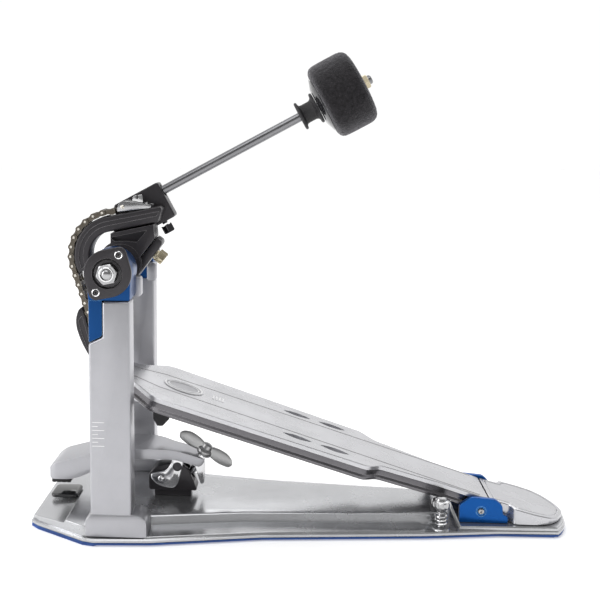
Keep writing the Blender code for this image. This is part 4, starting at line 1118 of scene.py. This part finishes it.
def spurs():
    for label, side in SIDES:
        base = (SPUR_X, side * SPUR_Y, 3.6)
        screw = [(0, 0.4), (2.0, 2.4), (2.4, 2.5), (13.6, 2.5), (14.6, 3.2), (16.8, 4.6), (18.4, 6.4),
                 (19.2, 6.7),
                 (21.4, 6.7), (22.2, 6.0), (22.6, 4.2), (23.8, 3.8), (24.4, 3.0), (24.6, 1.6)]
        across = rect(SPUR_X - 6, side * SPUR_Y - 0.6, SPUR_X + 6, side * SPUR_Y + 0.6)
        slot = prism(across, "z", 26.6, 30.0)
        knurls = []
        for k in range(12):
            angle = 2 * math.pi * k / 12
            place = (SPUR_X + 6.8 * math.cos(angle), side * SPUR_Y + 6.8 * math.sin(angle), 20.4)
            knurls.append(turned([(0, 0.9), (5.6, 0.9)], place, UP, 12))
        piece(f"spur_{label}_screw", turned(screw, base, UP, 48), "steel", f"spur_{label}",
              (f"spur_screw_{label}",),
              cut=[slot, *knurls])
        piece(f"spur_{label}_thread", helix((SPUR_X, side * SPUR_Y, 6.0), UP, 2.5, 0.32, 1.1, 12.0),
              "steel", f"spur_{label}")
        piece(f"spur_{label}_spring", helix((SPUR_X, side * SPUR_Y, 8.8), UP, 3.9, 0.75, 2.7, 7.6, 10, 28),
              "chrome", "frame",
              (f"spur_spring_{label}",))


# ---------------------------------------------------------------- hoop clamp
def jaw_pin_bore():
    return rod((JAW_X, -30, JAW_Z), (JAW_X, 30, JAW_Z), 2.8, 36)


def clamp_screw_bore():
    return rod(WING_CENTRE + WING_AXIS * 2, WING_CENTRE + WING_AXIS * 40, 3.3, 36)


def clamp():
    cheek = rounded([(18.0, 18.0), (55.0, 18.0), (48.5, 33.5), (44.5, 37.6), (33.0, 38.6), (24.0, 36.0),
                     (18.0, 30.0)],
                    2.0, 4)
    seat = [(42.2, 30.6), (58.0, 20.6), (60.0, 45.0), (42.2, 45.0)]
    piece("clamp_base", prism(cheek, "y", -7.0, 7.0), "black_metal", "frame", ("clamp_bracket",), bevel=0.9,
          add=[(prism(rect(22.0, 13.3, 50.0, 19.0), "y", -5.0, 5.0), 0.5)],
          cut=[prism(seat, "y", -3.7, 3.7), jaw_pin_bore()])
    pin = turned([(0, 1.4), (0.3, 2.1), (0.8, 2.5), (21.2, 2.5), (21.7, 2.1), (22.0, 1.4)],
                 (JAW_X, -11.0, JAW_Z),
                 ACROSS, 40)
    piece("clamp_pivot_pin", pin, "chrome", "frame", ("clamp_pin",))
    clamp_jaw()
    jaw_column()
    piece("jaw_pad_block", prism(rect(-55.0, 24.2, -40.5, 27.7), "y", -14.0, 14.0),
          "rubber_black", "jaw", ("jaw_pad",), bevel=0.8,
          cut=[prism(rect(x, 23.0, x + 0.8, 24.8), "y", -20, 20)
               for x in (-52.0, -48.0, -44.0)])
    rest = rounded(mirrored([(-57.5, 8.0), (-55.0, 10.6), (-39.0, 11.0), (-36.5, 8.5)]), 2.4, 5)
    levels = ((10.9, 0.5), (11.2, 0.1), (12.6, 0.0), (13.3, 0.5), (13.6, 1.4))
    piece("hoop_rest_block", stack([[(x, y, z) for x, y in inset(rest, draw)] for z, draw in levels]),
          "gloss_black", "frame", ("hoop_rest",), angle=40)


def clamp_jaw():
    side = [(-56.0, 29.0), (-56.0, 37.0), (-50.0, 41.0), (-20.0, 49.0), (0.0, 52.5), (24.0, 52.5),
            (46.0, 48.0),
            (61.5, 41.7), (57.2, 36.2), (44.0, 41.5), (24.0, 45.0), (4.0, 44.5), (-14.0, 40.0),
            (-30.0, 31.0),
            (-40.0, 28.0), (-55.0, 28.0)]
    side = rounded(side, lambda corner: 1.0 if corner[0] < -50 else 8.0, 4)
    plan = rounded(mirrored([(-58.0, 13.5), (-53.0, 16.8), (16.0, 16.8), (27.0, 14.4), (36.0, 10.4),
                             (46.0, 10.2),
                             (58.0, 7.4), (62.0, 4.6)]), 4.0, 4)
    bores = [jaw_pin_bore(), clamp_screw_bore()]
    piece("jaw_arm", prism(side, "y", -20.0, 20.0), "cast_silver", "jaw", ("clamp_jaw",), bevel=1.0,
          within=prism(plan, "z", 0.0, 80.0), cut=bores)
    lug = rounded([(19.6, 31.2), (20.5, 27.0), (25.0, 22.8), (31.0, 21.0), (36.5, 20.4), (40.0, 22.5),
                   (42.0, 28.0),
                   (44.6, 38.0), (44.5, 44.0), (36.5, 44.6), (36.0, 40.8), (32.0, 34.6)], 2.6, 4)
    for label, edge in SIDES:
        low, high = sorted((edge * 7.4, edge * 10.1))
        piece(f"jaw_lug_{label}", prism(lug, "y", low, high), "chrome", "jaw", bevel=1.0,
              cut=[jaw_pin_bore()])
        stud = turned([(0, 3.7), (0.5, 3.7), (0.9, 3.2), (1.1, 2.4), (0.9, 1.4)], (40.2, edge * 9.4, 37.4),
                      (0, edge, 0), 40)
        piece(f"jaw_rivet_{label}", stud, "dark_steel", "jaw")


def jaw_column():
    """The upright collar of the lever that the clamp screw runs through."""
    side = rounded([(51.5, 41.5), (58.8, 46.0), (60.4, 40.3), (60.0, 23.5), (57.4, 22.5), (55.0, 30.0)],
                   1.2, 4)
    piece("jaw_column", prism(side, "y", -5.6, 5.6), "chrome", "jaw", bevel=0.9,
          cut=[clamp_screw_bore()])


def wing_screw():
    screw = [(6.2, 2.2), (6.5, 2.7), (22.4, 2.7), (23.1, 2.3), (23.6, 1.5)]
    piece("clamp_screw_stem", turned(screw, WING_CENTRE, WING_AXIS, 40), "chrome", "clamp_screw",
          ("clamp_screw",))
    piece("clamp_screw_thread", helix(WING_CENTRE + WING_AXIS * 6.8, WING_AXIS, 2.7, 0.25, 1.1, 15.5),
          "chrome",
          "clamp_screw")
    collar = [(-3.4, 1.6), (-3.1, 2.6), (-2.4, 4.0), (0.2, 4.4), (0.8, 5.0), (2.0, 6.0), (2.6, 6.2),
              (5.0, 5.9),
              (5.7, 5.4), (5.8, 4.8)]
    leaves = [(wing_leaf(WING_SPAN * side), 1.0) for side in (-1, 1)]
    piece("wing_bolt_body", turned(collar, WING_CENTRE, WING_AXIS, 48), "satin_steel", "wing",
          ("wing_bolt",),
          add=leaves)


def wing_leaf(out):
    shape = rounded([(2.0, -2.2), (8.0, -3.9), (16.0, -4.2), (21.4, -1.9), (23.6, 1.2), (21.6, 4.6),
                     (13.0, 6.0),
                     (2.0, 4.4)], 3.0, 4)
    return stack([[WING_CENTRE + out * a + WING_AXIS * b + Vector((0, y, 0)) for a, b in shape]
                  for y in (-1.7, 1.7)])


# ---------------------------------------------------------------- return spring
def spring_parts():
    pin_z = AXLE_Z - 14.0
    outline = hull([(0, AXLE_Z, 9.5), (SPRING_X, pin_z, 5.0)], 80)
    piece("rocker_plate", prism(outline, "y", 68.0, 71.6), "black_metal", "axle", ("spring_rocker",),
          bevel=0.7,
          add=[rod((SPRING_X, 71.0, pin_z), (SPRING_X, 81.0, pin_z), 1.8, 32),
               turned([(0, 2.4), (0.4, 3.0), (1.4, 3.0), (1.8, 2.4)], (SPRING_X, 80.4, pin_z), ACROSS, 36)],
          cut=[rod((0, 60, AXLE_Z), (0, 80, AXLE_Z), 4.3, 40)])
    eye_z = pin_z - 0.5
    eye = [(-1.6, 3.5), (-1.6, 4.5), (-1.2, 5.1), (1.2, 5.1), (1.6, 4.5), (1.6, 3.5), (1.2, 3.2),
           (-1.2, 3.2)]
    piece("hook_eye", turned(eye, (SPRING_X, SPRING_Y, eye_z), ACROSS, 56, ring=True), "steel",
          "spring_hook",
          ("spring_hook",),
          add=[rod((SPRING_X, SPRING_Y, 158.0), (SPRING_X, SPRING_Y, eye_z - 4.0), 3.4, 36, 0.5),
               rod((SPRING_X, SPRING_Y, 171.3), (SPRING_X, SPRING_Y, 172.9), 5.6, 48, 0.4)])
    stem = [(0, 1.4), (0.5, 2.2), (54.0, 2.2), (54.2, 4.4), (54.7, 4.7), (57.4, 4.7), (58.2, 3.8)]
    hexed = turned([(0, hexagon(10) - 0.5), (0.4, hexagon(10)), (4.4, hexagon(10)),
                    (4.8, hexagon(10) - 0.5)],
                   (SPRING_X, SPRING_Y, 59.4), UP, 6, 0.2)
    piece("spring_stem", turned(stem, (SPRING_X, SPRING_Y, 48.0), UP, 40), "steel", "spring_link",
          ("spring_rod",), add=[(hexed, 0.3)])
    piece("spring_stem_thread", helix((SPRING_X, SPRING_Y, 48.6), UP, 2.2, 0.28, 1.1, 10.4), "steel",
          "spring_link")
    piece("spring_stem_thread_upper", helix((SPRING_X, SPRING_Y, 64.6), UP, 2.2, 0.28, 1.1, 13.6), "steel",
          "spring_link")
    nut("spring_nut_hex", (SPRING_X, SPRING_Y, 79.0), UP, 10, 4.8, 2.7, "chrome", "spring_nut",
        ("spring_nut",))
    slot = rounded(rect(SPRING_X - 4.6, SPRING_Y - 3.2, SPRING_X + 4.6, SPRING_Y + 3.2), 2.0, 4)
    piece("spring_shelf", prism(rect(-6.5, 65.0, 14.0, 78.2), "y", 61.9, 84.0),
          "cast_silver", "frame", ("spring_bracket",), bevel=1.6, cut=[prism(slot, "z", 50.0, 90.0)])
    return_spring()


def return_spring():
    """The coils stretch between the rod below and the hook above."""
    turns, length = 14, SPRING_HIGH_Z - SPRING_LOW_Z
    wire = helix((SPRING_X, SPRING_Y, SPRING_LOW_Z), UP, 5.2, 0.95, length / turns, length, 10, 24)
    coils = piece("return_spring_coils", wire, "steel", None, ("return_spring",))
    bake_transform(coils)


# ---------------------------------------------------------------- stage, light and camera
def floor():
    bpy.ops.mesh.primitive_plane_add(size=14.0, location=(0.0, 0.0, -0.0002))
    plane = bpy.context.object
    plane.name = "studio_floor"
    material, _, shader = new_material("studio_floor", (0.96, 0.96, 0.96), 0.85)
    shader.inputs["Emission Color"].default_value = (1.0, 1.0, 1.0, 1.0)
    shader.inputs["Emission Strength"].default_value = 0.34
    plane.data.materials.append(material)


def area_light(name, place, aim, size, power):
    data = bpy.data.lights.new(name, "AREA")
    data.shape = "RECTANGLE"
    data.size, data.size_y = size
    data.energy = power
    light = bpy.data.objects.new(name, data)
    light.location = place
    light.rotation_euler = (Vector(aim) - Vector(place)).to_track_quat("-Z", "Y").to_euler()
    bpy.context.scene.collection.objects.link(light)


def sky(tree):
    """White behind the pedal and dimmer on the camera's side, so that metal keeps its contrast."""
    background = tree.nodes["Background"]
    background.inputs["Color"].default_value = (1.0, 1.0, 1.0, 1.0)
    place = tree.nodes.new("ShaderNodeTexCoord")
    split = tree.nodes.new("ShaderNodeSeparateXYZ")
    tree.links.new(place.outputs["Generated"], split.inputs["Vector"])
    tree.links.new(spread(tree, split.outputs["Y"], 0.28, 1.02, (-0.40, 0.25)),
                   background.inputs["Strength"])


def studio():
    floor()
    bpy.context.scene.view_settings.view_transform = "Standard"
    world = bpy.data.worlds.new("studio")
    bpy.context.scene.world = world
    world.use_nodes = True
    sky(world.node_tree)
    area_light("key", (-0.35, -0.75, 1.55), (0.0, 0.0, 0.1), (1.4, 1.0), 8.0)
    area_light("side", (-1.5, -0.7, 0.6), (0.0, 0.0, 0.1), (0.8, 1.1), 11.0)
    area_light("rim", (0.2, 1.3, 1.2), (0.0, 0.0, 0.15), (1.6, 0.7), 5.0)


def camera():
    data = bpy.data.cameras.new("camera")
    data.lens = CAMERA_LENS
    data.sensor_width = 36.0
    data.shift_x, data.shift_y = CAMERA_SHIFT
    data.clip_start = 0.02
    obj = bpy.data.objects.new("camera", data)
    obj.location = (Vector(CAMERA_PLACE) + SHIFT) * MM
    obj.rotation_euler = (math.radians(90.0 - CAMERA_PITCH), 0.0, math.radians(CAMERA_YAW))
    bpy.context.scene.collection.objects.link(obj)
    bpy.context.scene.camera = obj


dress_cad()
floor_plate()
scale_marks()
for end_label, end_side in SIDES:
    post(end_label, end_side)
    housing(end_label, end_side)
    bearing_cap(end_label, end_side)
    cap_screws(end_label, end_side)
inner_bosses()
axle()
cam()
cam_hub()
cam_clamp()
chain_anchor()
chain()
beater_hub()
beater()
footboard()
emblem()
toe_guard()
toe_fork()
bumpers()
hinge_blocks()
heel_plate()
spurs()
clamp()
wing_screw()
spring_parts()
studio()
camera()
